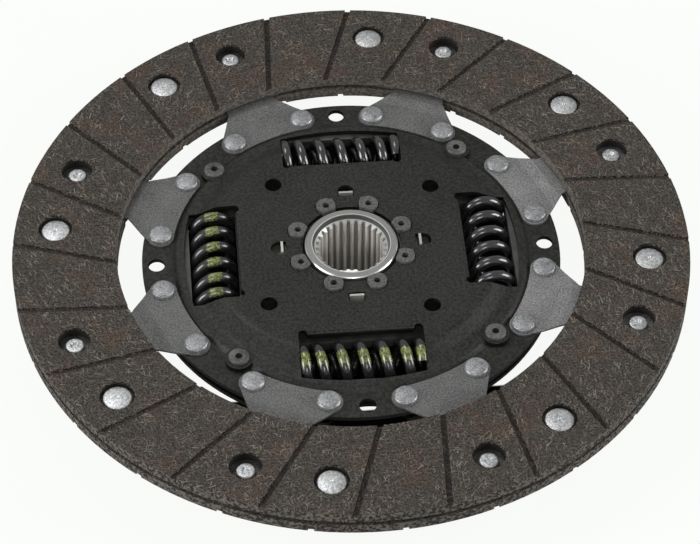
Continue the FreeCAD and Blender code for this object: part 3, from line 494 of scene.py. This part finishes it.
@dataclass(frozen=True)
class Grained(Finish):
    """Two tones mixed by fine and broad grain, for bare and plated metal.

    Grain is the fine scale's share, cloud is how far the roughness wanders, and
    wall_shade is how much of the dark tone lies on walls as painted shade.
    """

    light: Colour
    dark: Colour
    roughness: float
    metallic: float = 0.0
    specular: float = 0.5
    coat: float = 0.0
    coat_roughness: float = 0.12
    fine_scale: float = 3000.0
    broad_scale: float = 120.0
    grain: float = 0.5
    cloud: float = 0.35
    relief: float = 0.5
    height: float = 0.03 * MM
    wall_shade: float = 0.0

    def build(self) -> Material:
        """Make the material.

        Returns:
            The material.
        """
        graph, material, shader = self.start()
        base, grain = self.colour(graph)
        cloudy = graph.times(graph.minus(grain.outputs["Broad"], 0.5), self.cloud)
        graph.feed(shader, {
            "Base Color": base,
            "Roughness": graph.math("ADD", cloudy, self.roughness, clamp=True),
            "Metallic": self.metallic, "Specular IOR Level": self.specular,
            "Coat Weight": self.coat, "Coat Roughness": self.coat_roughness,
            "Normal": self.bump(graph, grain.outputs["Fine"], self.relief, self.height)})
        return material

    def colour(self, graph: Graph) -> tuple[Socket, Node]:
        """The grained colour.

        Args:
            graph: the material's graph.

        Returns:
            The colour's socket and the grain node it is made from.
        """
        grain = graph.group(fine_grain(), {"Fine scale": self.fine_scale,
                                           "Broad scale": self.broad_scale})
        fine, broad = (graph.band(grain.outputs[label], 0.3, 0.7)
                       for label in ("Fine", "Broad"))
        share = graph.plus(graph.times(fine, self.grain),
                           graph.times(broad, 1.0 - self.grain))
        base = graph.mix(share, self.dark, self.light)
        if self.wall_shade:
            # painted shade: upright faces take the dark tone
            wall = graph.minus(1.0, levelness(graph, 0.2, 0.75))
            base = graph.mix(graph.times(wall, self.wall_shade), base, self.dark)
        return base, grain


@dataclass(frozen=True)
class DarkCoat(Grained):
    """Phosphated or painted steel and dark composites: a dark coat with dust and grain."""

    specular: float = 0.4
    fine_scale: float = 2200.0
    broad_scale: float = 45.0
    grain: float = 0.55
    cloud: float = 0.4
    relief: float = 0.4


@dataclass(frozen=True)
class PaintDabbed(DarkCoat):
    """Gloss black spring wire with a dab of marking paint on the top of each coil.

    Side is 0 or 1, the axis across the spring, and middle is the dabs' place on it.
    """

    paint: Colour = (0.23, 0.27, 0.07)
    thin_paint: Colour = (0.075, 0.09, 0.022)
    side: int = 0
    middle: float = 0.0
    half_width: float = 2.3 * MM
    top: float = 2.6 * MM
    blur: float = 0.15 * MM
    raggedness: float = 2.6 * MM

    def colour(self, graph: Graph) -> tuple[Socket, Node]:
        """The coat's colour with the dabs.

        Args:
            graph: the material's graph.

        Returns:
            The colour's socket and the grain node it is made from.
        """
        coat, grain = super().colour(graph)
        point = object_point(graph)
        ragged = graph.times(graph.minus(graph.noise(point, 900.0, 3.0, 0.7), 0.5),
                             self.raggedness)
        parts = graph.node("SeparateXYZ", {0: point}).outputs
        off = graph.math("ABSOLUTE", graph.minus(parts[self.side], self.middle))
        beside = graph.band(graph.plus(off, ragged), self.half_width + self.blur,
                            self.half_width - self.blur)
        above = graph.band(graph.plus(parts[2], ragged), self.top - 2 * self.blur, self.top)
        worn = graph.band(graph.noise(point, 1400.0), 0.34, 0.46)
        depth = graph.band(graph.noise(point, 1100.0), 0.40, 0.58)
        paint = graph.mix(depth, self.thin_paint, self.paint)
        return graph.mix(graph.times(beside, above, worn), coat, paint), grain


@dataclass(frozen=True)
class TurnedHub(Finish):
    """Machined steel: a satin rim with worn patches, a bright edge and chamfer that are
    partly polish and partly painted highlight, a ring inside the rim painted dark as shade,
    and oiled flutes.
    """

    rim: Colour = (0.37, 0.37, 0.36)
    # bright steel: partly polish, partly painted highlight on the edges and chamfer
    edge: Colour = (0.85, 0.85, 0.83)
    # dark tone: painted shade inside the rim, and real wear in the rim's worn patches
    recess: Colour = (0.20, 0.20, 0.195)
    flute: Colour = (0.90, 0.89, 0.86)
    dim_streak: Colour = (0.62, 0.57, 0.52)
    valley_shade: Colour = (0.30, 0.28, 0.265)
    wear: float = 0.35
    valley_share: float = 0.9
    metallic: float = 0.75
    oiled: float = 0.5
    bared: float = 0.7
    roughness: float = 0.46
    polish: float = 0.16
    tooth_radius: float = 11.35 * MM
    valley_radius: float = 11.85 * MM
    flute_radius: float = 12.45 * MM
    recess_radius: float = 13.3 * MM
    edge_radius: float = 15.3 * MM
    edge_height: float = 3.6 * MM
    mouth_radius: float = 13.45 * MM
    mouth_height: float = 3.85 * MM
    chamfer_foot: float = 1.5 * MM
    blur: float = 0.1 * MM
    flute_reach: float = 0.06

    def over(self, graph: Graph, value: Socket, limit: float) -> Socket:
        """A mask of what lies over a limit."""
        return graph.band(value, limit, limit + self.blur)

    def under(self, graph: Graph, value: Socket, limit: float) -> Socket:
        """A mask of what lies under a limit."""
        return graph.band(value, limit, limit - self.blur)

    def flutes(self, graph: Graph, radius: Socket) -> Socket:
        """The spline's teeth with light and dark streaks as painted reflection, and its
        valleys painted dark as shade.

        Args:
            graph: the material's graph.
            radius: the distance from the axis.

        Returns:
            The colour's socket.
        """
        long_grain = graph.node("VectorMath", {
            0: object_point(graph), 1: (1.0, 1.0, self.flute_reach)},
            operation="MULTIPLY").outputs[0]
        # painted reflection: vertical light and dark streaks along the teeth
        streaks = graph.band(graph.noise(long_grain, 1500.0, 3.0), 0.33, 0.62)
        tooth = graph.mix(streaks, self.dim_streak, self.flute)
        # painted shade: the valleys between the teeth take a dark tone
        deep = graph.band(radius, self.tooth_radius, self.valley_radius)
        return graph.mix(graph.times(deep, self.valley_share), tooth, self.valley_shade)

    def build(self) -> Material:
        """Make the material.

        Returns:
            The material.
        """
        graph, material, shader = self.start()
        grain = graph.group(fine_grain(), {"Fine scale": 3200.0, "Broad scale": 260.0})
        marks = graph.group(turned_rings(), {"Scale": 4200.0})
        radius, height = radius_and_height(graph)
        worn = graph.times(graph.band(grain.outputs["Fine"], 0.7, 0.3), self.wear)
        base = graph.mix(worn, self.rim, self.recess)
        # painted shade: the ring inside the rim takes the dark tone
        base = graph.mix(self.under(graph, radius, self.recess_radius), base, self.recess)
        fluted = self.under(graph, radius, self.flute_radius)
        base = graph.mix(fluted, base, self.flutes(graph, radius))
        chamfer = graph.times(fluted, self.over(graph, height, self.chamfer_foot))
        mouth = graph.times(self.under(graph, radius, self.mouth_radius),
                            self.over(graph, height, self.mouth_height))
        # painted highlight, partly real polish: the chamfer and the mouth's edge take the
        # bright tone
        base = graph.mix(graph.math("MAXIMUM", chamfer, mouth), base, self.edge)
        # painted highlight, partly real polish: a bright line round the outer edge
        bright = graph.times(self.over(graph, radius, self.edge_radius),
                             self.over(graph, height, self.edge_height))
        base = graph.mix(bright, base, self.edge)
        bare = graph.plus(graph.times(chamfer, self.bared),
                          graph.minus(self.metallic, graph.times(fluted, self.oiled)))
        polished = graph.times(graph.math("MAXIMUM", bright, chamfer), self.polish)
        relief = graph.plus(graph.times(grain.outputs["Fine"], 0.6), marks.outputs["Marks"])
        graph.feed(shader, {"Base Color": base, "Metallic": bare,
                            "Roughness": graph.minus(self.roughness, polished),
                            "Normal": self.bump(graph, relief, 0.5, 0.02 * MM)})
        return material


# Meshes

def deselect_all() -> None:
    """Leave object mode with nothing selected."""
    if bpy.context.object and bpy.context.object.mode != "OBJECT":
        bpy.ops.object.mode_set(mode="OBJECT")
    bpy.ops.object.select_all(action="DESELECT")


class Part(Enum):
    """What is selected in edit mode."""

    EDGES = "EDGE"
    FACES = "FACE"


def select_where(piece: Object, part: Part, test) -> None:
    """Select the edges or faces that pass a test, in edit mode.

    Args:
        piece: the active piece.
        part: edges or faces.
        test: called with the corners' points and, for a face, its normal.
    """
    bpy.ops.mesh.select_mode(type=part.value)
    bpy.ops.mesh.select_all(action="DESELECT")
    bpy.ops.object.mode_set(mode="OBJECT")
    mesh = piece.data
    chosen = mesh.edges if part is Part.EDGES else mesh.polygons
    for item in chosen:
        corners = [mesh.vertices[index].co for index in item.vertices]
        normal = item.normal if part is Part.FACES else None
        item.select = test(corners, normal)
    bpy.ops.object.mode_set(mode="EDIT")


def joined(pieces: list[Object], name: str) -> Object:
    """Join pieces into one object.

    Args:
        pieces: the pieces, the first of which is kept.
        name: the joined piece's name.

    Returns:
        The joined piece, shaded smooth but for its sharp edges.
    """
    deselect_all()
    for piece in pieces:
        piece.select_set(True)
    bpy.context.view_layer.objects.active = pieces[0]
    if len(pieces) > 1:
        bpy.ops.object.join()
    whole = bpy.context.object
    whole.name = name
    bpy.ops.object.shade_smooth_by_angle(angle=math.radians(35))
    return whole


@dataclass
class Stud:
    """A round head or tail made from a cylinder: rounded at one rim and dimpled."""

    radius: float
    low: float
    high: float
    round_over: float = 0.0
    round_steps: int = 4
    dimple_radius: float = 0.0
    dimple_depth: float = 0.0
    dimple_slope: float = 0.45
    crown: float = 0.0
    crown_steps: int = 5
    upward: bool = True
    sides: int = 48

    def build(self) -> Object:
        """Model the stud on the Z axis.

        Returns:
            The new object.
        """
        deselect_all()
        bpy.ops.mesh.primitive_cylinder_add(
            vertices=self.sides, radius=self.radius, depth=self.high - self.low,
            location=(0.0, 0.0, (self.high + self.low) / 2))
        piece = bpy.context.object
        bpy.ops.object.transform_apply(location=True)
        bpy.ops.object.mode_set(mode="EDIT")
        outer = self.high if self.upward else self.low
        sign = 1.0 if self.upward else -1.0
        if self.round_over:
            select_where(piece, Part.EDGES, lambda corners, _normal: all(
                abs(corner.z - outer) < 0.01 * MM for corner in corners))
            bpy.ops.mesh.bevel(offset=self.round_over, segments=self.round_steps,
                               affect="EDGES")
        if self.crown:
            self.raise_crown(piece, sign)
        if self.dimple_radius:
            self.sink_dimple(piece, sign)
        bpy.ops.object.mode_set(mode="OBJECT")
        return piece

    def select_cap(self, piece: Object, sign: float) -> None:
        """Select the face at the outer end's middle."""
        select_where(piece, Part.FACES, lambda corners, normal: (
            len(corners) == self.sides and normal.z * sign > 0.5))

    def raise_crown(self, piece: Object, sign: float) -> None:
        """Raise the outer end in rings.

        Args:
            piece: the stud in edit mode.
            sign: which way is outward on Z.
        """
        ring = (self.radius - self.round_over) / (self.crown_steps + 1)
        for step in range(self.crown_steps):
            self.select_cap(piece, sign)
            bpy.ops.mesh.inset(thickness=ring)
            share = (2 * (self.crown_steps - step) - 1) / self.crown_steps ** 2
            bpy.ops.transform.translate(value=(0.0, 0.0, sign * self.crown * share))

    def sink_dimple(self, piece: Object, sign: float) -> None:
        """Sink a dimple into the outer end's middle.

        Args:
            piece: the stud in edit mode.
            sign: which way is outward on Z.
        """
        flat = self.radius - self.round_over
        cap = flat / (self.crown_steps + 1) if self.crown else flat
        self.select_cap(piece, sign)
        if cap > self.dimple_radius:
            bpy.ops.mesh.inset(thickness=cap - self.dimple_radius)
        bpy.ops.mesh.inset(thickness=self.dimple_radius * self.dimple_slope)
        bpy.ops.transform.translate(value=(0.0, 0.0, -sign * self.dimple_depth))


def dress(piece: Object, material: Material) -> None:
    """Give a piece one material all over."""
    piece.data.materials.clear()
    piece.data.materials.append(material)


def stand_in(piece: Object, node: str, body: str) -> None:
    """Let a piece stand for a node.

    Args:
        piece: the piece.
        node: the node it replaces.
        body: the body it rides on.
    """
    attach(piece, body)
    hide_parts(node)
    LOG.info("%s stands for %s with %d faces", piece.name, node, len(piece.data.polygons))


# Sub-assemblies

@dataclass(frozen=True)
class StudRing:
    """Rivets or pins of one kind round the disc axis, with angles in degrees.

    Aside holds how far the copies stand to the side of each even angle.
    """

    node: str
    name: str
    slot: str
    circle: float
    first: float
    studs: tuple[Stud, ...]
    count: int = 8
    aside: tuple[float, ...] = (0.0,)
    flipped: bool = False

    def spots(self) -> list[Matrix]:
        """Where the copies stand.

        Returns:
            One matrix a copy.
        """
        over = Matrix.Rotation(math.pi if self.flipped else 0.0, 4, "X")
        angles = [self.first + 360.0 * index / self.count + off
                  for index in range(self.count) for off in self.aside]
        return [Matrix.Rotation(math.radians(angle), 4, "Z")
                @ Matrix.Translation((self.circle, 0.0, 0.0)) @ over for angle in angles]

    def build(self, material: Material, shade: Material | None = None) -> None:
        """Model, place and dress the copies as one piece with its object at the origin.

        Args:
            material: their finish.
            shade: the finish of the first stud's dimples, painted dark as shade.
        """
        unit = joined([stud.build() for stud in self.studs], self.name + "_unit")
        made = []
        for spot in self.spots():
            copy = unit.copy()
            copy.data = unit.data.copy()
            copy.data.transform(spot)
            bpy.context.scene.collection.objects.link(copy)
            made.append(copy)
        bpy.data.objects.remove(unit)
        piece = joined(made, self.name)
        dress(piece, material)
        if shade:
            self.shade_dimples(piece, shade)
        stand_in(piece, self.node, "disc")

    def shade_dimples(self, piece: Object, shade: Material) -> None:
        """Give the first stud's dimples a finish of their own, painted dark as shade.

        Args:
            piece: the piece.
            shade: the dimples' finish.
        """
        head, spots = self.studs[0], self.spots()
        piece.data.materials.append(shade)
        for polygon in piece.data.polygons:
            middle = polygon.center
            off = min((middle - spot.translation).xy.length for spot in spots)
            sunk = head.low < middle.z < head.high - 0.1 * MM
            if sunk and off < head.dimple_radius:
                polygon.material_index = 1


FLYWHEEL_RIVETS = StudRing(
    "flywheel_facing_rivets", "flywheel_facing_rivets_turned", "facing_rivet",
    100.4 * MM, 36.83, (
        Stud(4.85 * MM, 2.1 * MM, 3.4 * MM, round_over=0.55 * MM, crown=0.35 * MM,
             dimple_radius=0.6 * MM, dimple_depth=0.3 * MM),
        Stud(2.4 * MM, 0.1 * MM, 2.1 * MM, sides=24),
        Stud(3.25 * MM, -2.1 * MM, 0.1 * MM, round_over=0.7 * MM,
             dimple_radius=1.5 * MM, dimple_depth=0.8 * MM, upward=False)))
PRESSURE_RIVETS = replace(FLYWHEEL_RIVETS, node="pressure_facing_rivets",
                          name="pressure_facing_rivets_turned", first=20.97, flipped=True)
SEGMENT_RIVETS = StudRing(
    "segment_rivets", "segment_rivets_domed", "zinc_rivet", 65.3 * MM, 22.5, (
        Stud(4.0 * MM, -0.6 * MM, 1.034 * MM, round_over=1.0 * MM, round_steps=6,
             crown=0.19 * MM),
        Stud(2.5 * MM, -2.9 * MM, -0.6 * MM, sides=24),
        Stud(3.7 * MM, -4.1 * MM, -2.9 * MM, round_over=0.35 * MM, upward=False)),
    aside=(-11.52, 11.52))
STOP_PINS = StudRing(
    "stop_pins", "stop_pins_turned", "pin_steel", 60.07 * MM, 47.67, (
        Stud(3.5 * MM, 0.55 * MM, 1.75 * MM, round_over=0.5 * MM,
             dimple_radius=1.2 * MM, dimple_depth=0.9 * MM),
        Stud(2.2 * MM, -7.5 * MM, 0.55 * MM, sides=24),
        Stud(3.0 * MM, -5.9 * MM, -1.4 * MM, sides=32),
        Stud(3.5 * MM, -8.7 * MM, -7.5 * MM, round_over=0.5 * MM, upward=False)),
    count=4)


@dataclass
class CoilSpring:
    """A coil spring with closed, ground ends that lies along a window."""

    node: str
    angle: float
    first_crest: float
    material: Material
    slot: str = "spring_black"
    wire: float = 3.6 * MM
    turns: float = 6.22
    closed_pitch: float = 2.45 * MM
    grind: float = 0.9 * MM
    keep: float = 0.805
    ring_sides: int = 16
    steps_per_turn: int = 28
    length: float = field(init=False)
    outer: float = field(init=False)
    centre: Vector = field(init=False)

    def __post_init__(self) -> None:
        """Read the spring's own size and place from its node."""
        low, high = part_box(self.node)
        spans = high - low
        self.length = max(spans.x, spans.y)
        self.outer = min(spans.x, spans.y) / 2
        self.centre = (low + high) / 2

    def heights(self) -> list[float]:
        """Height of the wire's centre at each step, with the end turns closed up.

        Returns:
            The heights from the lower end to the upper one, round 0.
        """
        rise = self.length - self.wire + 2 * self.grind
        pitch = (rise - self.closed_pitch) / (self.turns - 1.0)
        level, levels = 0.0, [0.0]
        for step in range(1, int(self.turns * self.steps_per_turn) + 1):
            turn = step / self.steps_per_turn
            opened = max(min(turn, self.turns - turn, 1.0), 0.0)
            slope = self.closed_pitch + (pitch - self.closed_pitch) * opened
            level += slope / self.steps_per_turn
            levels.append(level)
        return [each - level / 2 for each in levels]

    def wound(self) -> Object:
        """Wind the wire about the Z axis.

        Returns:
            The coil with open wire ends.
        """
        deselect_all()
        bpy.ops.mesh.primitive_circle_add(
            vertices=self.ring_sides, radius=self.wire / 2,
            location=(self.outer - self.wire / 2, 0.0, 0.0),
            rotation=(math.pi / 2, 0.0, 0.0))
        piece = bpy.context.object
        bpy.ops.object.transform_apply(location=True, rotation=True)
        levels = self.heights()
        last = len(levels) - 1
        winding = piece.modifiers.new("winding", "SCREW")
        winding.axis = "Z"
        winding.angle = 2 * math.pi * last / self.steps_per_turn
        winding.screw_offset = 0.0
        winding.steps = winding.render_steps = len(levels)
        winding.use_merge_vertices = False
        bpy.ops.object.modifier_apply(modifier=winding.name)
        vertices = piece.data.vertices
        rings = len(vertices) // self.ring_sides
        for vertex in vertices:
            share = (vertex.index // self.ring_sides) * last / (rings - 1)
            low = min(int(share), last - 1)
            vertex.co.z += levels[low] + (levels[low + 1] - levels[low]) * (share - low)
        return piece

    def close_ends(self) -> None:
        """Close the wire's ends and grind the active coil flat at its own length."""
        bpy.ops.object.mode_set(mode="EDIT")
        bpy.ops.mesh.select_mode(type="EDGE")
        bpy.ops.mesh.select_all(action="DESELECT")
        bpy.ops.mesh.select_non_manifold()
        bpy.ops.mesh.edge_face_add()
        for side in (1.0, -1.0):
            bpy.ops.mesh.select_all(action="SELECT")
            bpy.ops.mesh.bisect(plane_co=(0.0, 0.0, side * self.length / 2),
                                plane_no=(0.0, 0.0, side), use_fill=True,
                                clear_outer=True)
        bpy.ops.mesh.select_all(action="SELECT")
        bpy.ops.mesh.normals_make_consistent(inside=False)
        bpy.ops.object.mode_set(mode="OBJECT")

    def build(self) -> None:
        """Wind, grind, place and dress the spring."""
        piece = self.wound()
        self.close_ends()
        # the crest faces +Z once the spring lies along the tangent
        start = -2 * math.pi * self.first_crest - math.pi / 2
        piece.data.transform(
            Matrix.Translation(self.centre) @ Matrix.Rotation(self.angle, 4, "Z")
            @ Matrix.Rotation(-math.pi / 2, 4, "X") @ Matrix.Rotation(start, 4, "Z"))
        whole = joined([piece], self.node + "_wound")
        dress(whole, self.material)
        stand_in(whole, self.node, "damper_springs")
        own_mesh(whole)


# Stage

@dataclass(frozen=True)
class PhotoCamera:
    """The photograph's viewpoint, solved from the facings' circles."""

    place: Point = (-0.05222, -0.61545, 0.68769)
    right: Point = (0.9966649, -0.0815767, 0.00207632)
    down: Point = (-0.05973552, -0.74668195, -0.66249357)
    ahead: Point = (0.05559439, 0.66016006, -0.74906472)
    lens: float = 140.45
    sensor: float = 36.0
    reach: float = 20.0

    def build(self) -> None:
        """Make the camera and let the scene use it."""
        data = bpy.data.cameras.new("photo_camera")
        data.lens = self.lens
        data.sensor_width = self.sensor
        data.clip_end = self.reach
        camera = bpy.data.objects.new("photo_camera", data)
        turn = Matrix((Vector(self.right), -Vector(self.down), -Vector(self.ahead)))
        camera.matrix_world = (Matrix.Translation(self.place)
                               @ turn.transposed().to_4x4())
        bpy.context.scene.collection.objects.link(camera)
        bpy.context.scene.camera = camera


@dataclass(frozen=True)
class Lamp:
    """A soft box that faces the disc, with its power in watts."""

    name: str
    place: Point
    width: float
    height: float
    power: float

    def build(self) -> None:
        """Hang the lamp."""
        data = bpy.data.lights.new(self.name, "AREA")
        data.shape = "RECTANGLE"
        data.size = self.width
        data.size_y = self.height
        data.energy = self.power
        lamp = bpy.data.objects.new(self.name, data)
        aim = -Vector(self.place).normalized()
        lamp.matrix_world = (Matrix.Translation(self.place)
                             @ aim.to_track_quat("-Z", "Y").to_matrix().to_4x4())
        bpy.context.scene.collection.objects.link(lamp)


LAMPS = (
    Lamp("lamp_over", (-0.4, 0.6, 1.3), 0.6, 0.6, 4.0),
    Lamp("lamp_right", (1.10, -0.12, 0.44), 0.55, 0.75, 8.0),
    Lamp("lamp_left", (-1.04, -0.30, 0.46), 0.55, 0.75, 8.0),
    Lamp("lamp_front", (0.0, -1.3, 0.9), 0.4, 0.4, 3.0),
)


@dataclass
class Studio:
    """A pale floor under the disc and a light room."""

    floor_height: float
    floor_size: float = 12.0
    floor_colour: Colour = (0.86, 0.87, 0.86)
    shade_colour: Colour = (0.012, 0.012, 0.012)
    glow_colour: Colour = (0.985, 0.998, 0.98)
    floor_glow: float = 0.93
    room_colour: Colour = (0.985, 0.995, 0.98)
    room_light: float = 0.30
    mirrored_light: float = 0.34
    shade_centre: Point = (0.0, 13.0 * MM, 0.0)
    shade_inner: float = 58.0 * MM
    shade_outer: float = 63.0 * MM
    near_side: float = -44.0 * MM
    near_inner: float = 56.0 * MM
    near_edge: float = 63.3 * MM
    near_outer: float = 85.0 * MM
    near_blur: float = 0.8 * MM
    bore_radius: float = 13.0 * MM

    def open_floor(self, graph: Graph) -> Socket:
        """Where the floor lies in the light.

        Its colour carries painted shade where the disc stands over it, and on the near side
        a band of painted shadow of the facing outside the plates.

        Args:
            graph: the floor material's graph.

        Returns:
            A socket that gives 0 in the shade and 1 in the light.
        """
        point = object_point(graph)
        from_centre = graph.node("VectorMath", {0: point, 1: self.shade_centre},
                                 operation="DISTANCE").outputs["Value"]
        from_axis = graph.node("VectorMath", {0: point}, operation="LENGTH").outputs["Value"]
        away = graph.node("SeparateXYZ", {0: point}).outputs[1]
        near = graph.band(away, self.near_side + self.near_blur, self.near_side)
        between = graph.times(
            graph.band(from_centre, self.near_inner, self.near_inner + self.near_blur),
            graph.band(from_centre, self.near_edge + self.near_blur, self.near_edge))
        in_front = graph.band(from_centre, self.near_outer, self.near_outer + self.near_blur)
        lit_near = graph.times(near, graph.plus(between, in_front))
        lit_far = graph.times(graph.minus(1.0, near), graph.band(
            from_centre, self.shade_inner, self.shade_outer))
        return graph.math("MAXIMUM", graph.plus(lit_near, lit_far),
                          graph.math("LESS_THAN", from_axis, self.bore_radius))

    def floor(self) -> None:
        """Lay a wide pale floor that the camera sees glowing outside its painted shade."""
        deselect_all()
        bpy.ops.mesh.primitive_plane_add(size=self.floor_size,
                                         location=(0.0, 0.0, self.floor_height))
        plane = bpy.context.object
        plane.name = "studio_floor"
        material = bpy.data.materials.new("studio_floor")
        material.use_nodes = True
        graph = Graph(material.node_tree)
        lit = self.open_floor(graph)
        # painted shade: the floor's colour turns near black where the mask gives shade
        paper = graph.node("BsdfDiffuse", {"Color": graph.mix(
            lit, self.shade_colour, self.floor_colour)})
        glow = graph.node("Emission", {"Color": self.glow_colour, "Strength": 1.0})
        seen = graph.node("LightPath").outputs["Is Camera Ray"]
        share = graph.times(seen, self.floor_glow, lit)
        both = graph.node("MixShader", {0: share, 1: paper.outputs[0], 2: glow.outputs[0]})
        graph.node("OutputMaterial", {0: both.outputs[0]})
        dress(plane, material)
        plane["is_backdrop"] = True

    def room(self) -> None:
        """Set a white room for the camera and for reflections, dimmer as a lamp."""
        world = bpy.data.worlds.new("studio_room")
        bpy.context.scene.world = world
        world.use_nodes = True
        graph = Graph(world.node_tree)
        rays = graph.node("LightPath").outputs
        mirrored = graph.math("MAXIMUM", rays["Is Camera Ray"],
                              graph.times(rays["Is Glossy Ray"], self.mirrored_light))
        strength = graph.math("MAXIMUM", mirrored, self.room_light)
        back = graph.node("Background", {"Color": self.room_colour, "Strength": strength})
        graph.node("OutputWorld", {0: back.outputs[0]})


# The whole disc

FACING = FibreFacing("fibre_facing")
# painted shade: the plates' walls take the dark tone through wall_shade
PLATE = DarkCoat("black_plate", light=(0.041, 0.040, 0.036), dark=(0.006, 0.0058, 0.005),
                 roughness=0.45, specular=0.28, fine_scale=1100.0, grain=0.85,
                 height=0.09 * MM, wall_shade=0.9)
WASHER = DarkCoat("washer_composite", light=(0.07, 0.065, 0.06), dark=(0.035, 0.033, 0.03),
                  roughness=0.7)
FINISHES = {
    "facing_flywheel_side": FACING,
    "facing_pressure_side": FACING,
    "carrier_plate": PLATE,
    "counter_plate": PLATE,
    "hub": TurnedHub("machined_hub"),
    "hub_flange": Grained("flange_steel", light=(0.17, 0.17, 0.165),
                          dark=(0.09, 0.09, 0.088), metallic=0.6, roughness=0.5),
    "friction_ring": DarkCoat("lug_polymer", light=(0.165, 0.167, 0.162),
                              dark=(0.045, 0.046, 0.044), roughness=0.5,
                              fine_scale=1300.0, grain=0.85, height=0.08 * MM),
    "disc_spring": Grained("disc_spring_steel", light=(0.3, 0.3, 0.29),
                           dark=(0.2, 0.2, 0.2), metallic=0.8, roughness=0.45),
    "tab_plate": Grained("zinc_tabs", light=(0.72, 0.72, 0.66), dark=(0.5, 0.5, 0.46),
                         metallic=0.7, roughness=0.4),
    "upper_friction_washer": WASHER,
    "lower_friction_washer": replace(WASHER, name="lower_washer_composite"),
    "guide_bush": DarkCoat("bush_polymer", light=(0.06, 0.06, 0.062),
                           dark=(0.04, 0.04, 0.042), roughness=0.55),
}
SEGMENT = Grained("segment_steel", light=(0.255, 0.253, 0.25), dark=(0.07, 0.07, 0.07),
                  metallic=0.45, roughness=0.5, fine_scale=1900.0, broad_scale=70.0,
                  grain=0.8, height=0.09 * MM)
# painted light: a lighter copy of the segment steel for the two segments on the right,
# standing in for the light they catch
PAINTED_LIGHT_SEGMENT = replace(SEGMENT, name="painted_light_segment_steel", light=(0.41, 0.415, 0.41),
                         dark=(0.13, 0.13, 0.13))
SEGMENTS = 8
PAINTED_LIGHT_SEGMENTS = (1, 8)
FACING_RIVET = Grained("facing_rivet_steel", light=(0.90, 0.91, 0.92),
                       dark=(0.40, 0.405, 0.415), metallic=0.8, roughness=0.42,
                       fine_scale=1100.0, broad_scale=420.0, grain=0.8, height=0.22 * MM)
SEGMENT_RIVET = Grained("zinc_rivet", light=(0.52, 0.53, 0.54), dark=(0.19, 0.195, 0.20),
                        metallic=0.6, roughness=0.42, fine_scale=1500.0,
                        broad_scale=420.0, grain=0.75, height=0.2 * MM)
PIN = Grained("pin_steel", light=(0.20, 0.20, 0.195), dark=(0.05, 0.05, 0.049),
              metallic=0.45, roughness=0.5, fine_scale=1400.0, height=0.1 * MM)
# painted shade: near black for the pins' dimples
PIN_SHADE = DarkCoat("pin_dimple_shade", light=(0.012, 0.012, 0.012), dark=(0.005, 0.005, 0.005),
                     roughness=0.6, specular=0.2)
WIRE = DarkCoat("spring_black", light=(0.022, 0.022, 0.023), dark=(0.010, 0.010, 0.011),
                roughness=0.24, specular=1.0, coat=0.9)
LEFT_WIRE = PaintDabbed("spring_black_left", light=WIRE.light, dark=WIRE.dark,
                        roughness=WIRE.roughness, specular=WIRE.specular, coat=0.3,
                        side=0, middle=-46.5 * MM)
NEAR_WIRE = replace(LEFT_WIRE, name="spring_black_near", side=1, middle=-48.8 * MM,
                    top=1.4 * MM)
INNER_WIRE = Grained("inner_spring_steel", light=(0.08, 0.08, 0.08),
                     dark=(0.02, 0.02, 0.02), metallic=0.8, roughness=0.35)


def dress_nodes() -> None:
    """Give every node of the frame its finish."""
    built: dict[str, Material] = {}
    finishes = dict(FINISHES)
    for index in range(1, SEGMENTS + 1):
        # painted light: the segments on the right get the lighter copy
        bright = index in PAINTED_LIGHT_SEGMENTS
        finishes["cushion_segment_%d" % index] = PAINTED_LIGHT_SEGMENT if bright else SEGMENT
    for node, finish in finishes.items():
        if finish.name not in built:
            built[finish.name] = finish.build()
        dress(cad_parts[node], built[finish.name])
        LOG.info("%s is dressed in %s", node, finish.name)


def wind_springs() -> None:
    """Wind the four damper springs and the two inner ones."""
    plain, left, near, inner = (wire.build() for wire in (
        WIRE, LEFT_WIRE, NEAR_WIRE, INNER_WIRE))
    outer = ((plain, 0.6), (plain, 0.1), (left, 0.6), (near, 0.1))
    for index, (material, crest) in enumerate(outer):
        CoilSpring("damper_spring_%d" % (index + 1), math.radians(90.0 * index), crest,
                   material).build()
    for index in (1, 2):
        CoilSpring("inner_spring_%d" % index, math.radians(180.0 * index - 90.0), 0.4,
                   inner, "inner_spring_steel", wire=1.9 * MM, turns=9.0,
                   closed_pitch=2.2 * MM, grind=0.5 * MM).build()


def main() -> None:
    """Dress the disc and set up the picture."""
    logging.basicConfig(level=logging.INFO, format="%(name)s: %(message)s")
    frame_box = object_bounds()
    bpy.context.scene.view_settings.view_transform = "Standard"
    PhotoCamera().build()
    dress_nodes()
    wind_springs()
    facing_rivet = FACING_RIVET.build()
    FLYWHEEL_RIVETS.build(facing_rivet)
    PRESSURE_RIVETS.build(facing_rivet)
    SEGMENT_RIVETS.build(SEGMENT_RIVET.build())
    STOP_PINS.build(PIN.build(), PIN_SHADE.build())
    studio = Studio(floor_height=frame_box[0].z)
    studio.floor()
    studio.room()
    for lamp in LAMPS:
        lamp.build()


if __name__ == "__main__":
    main()
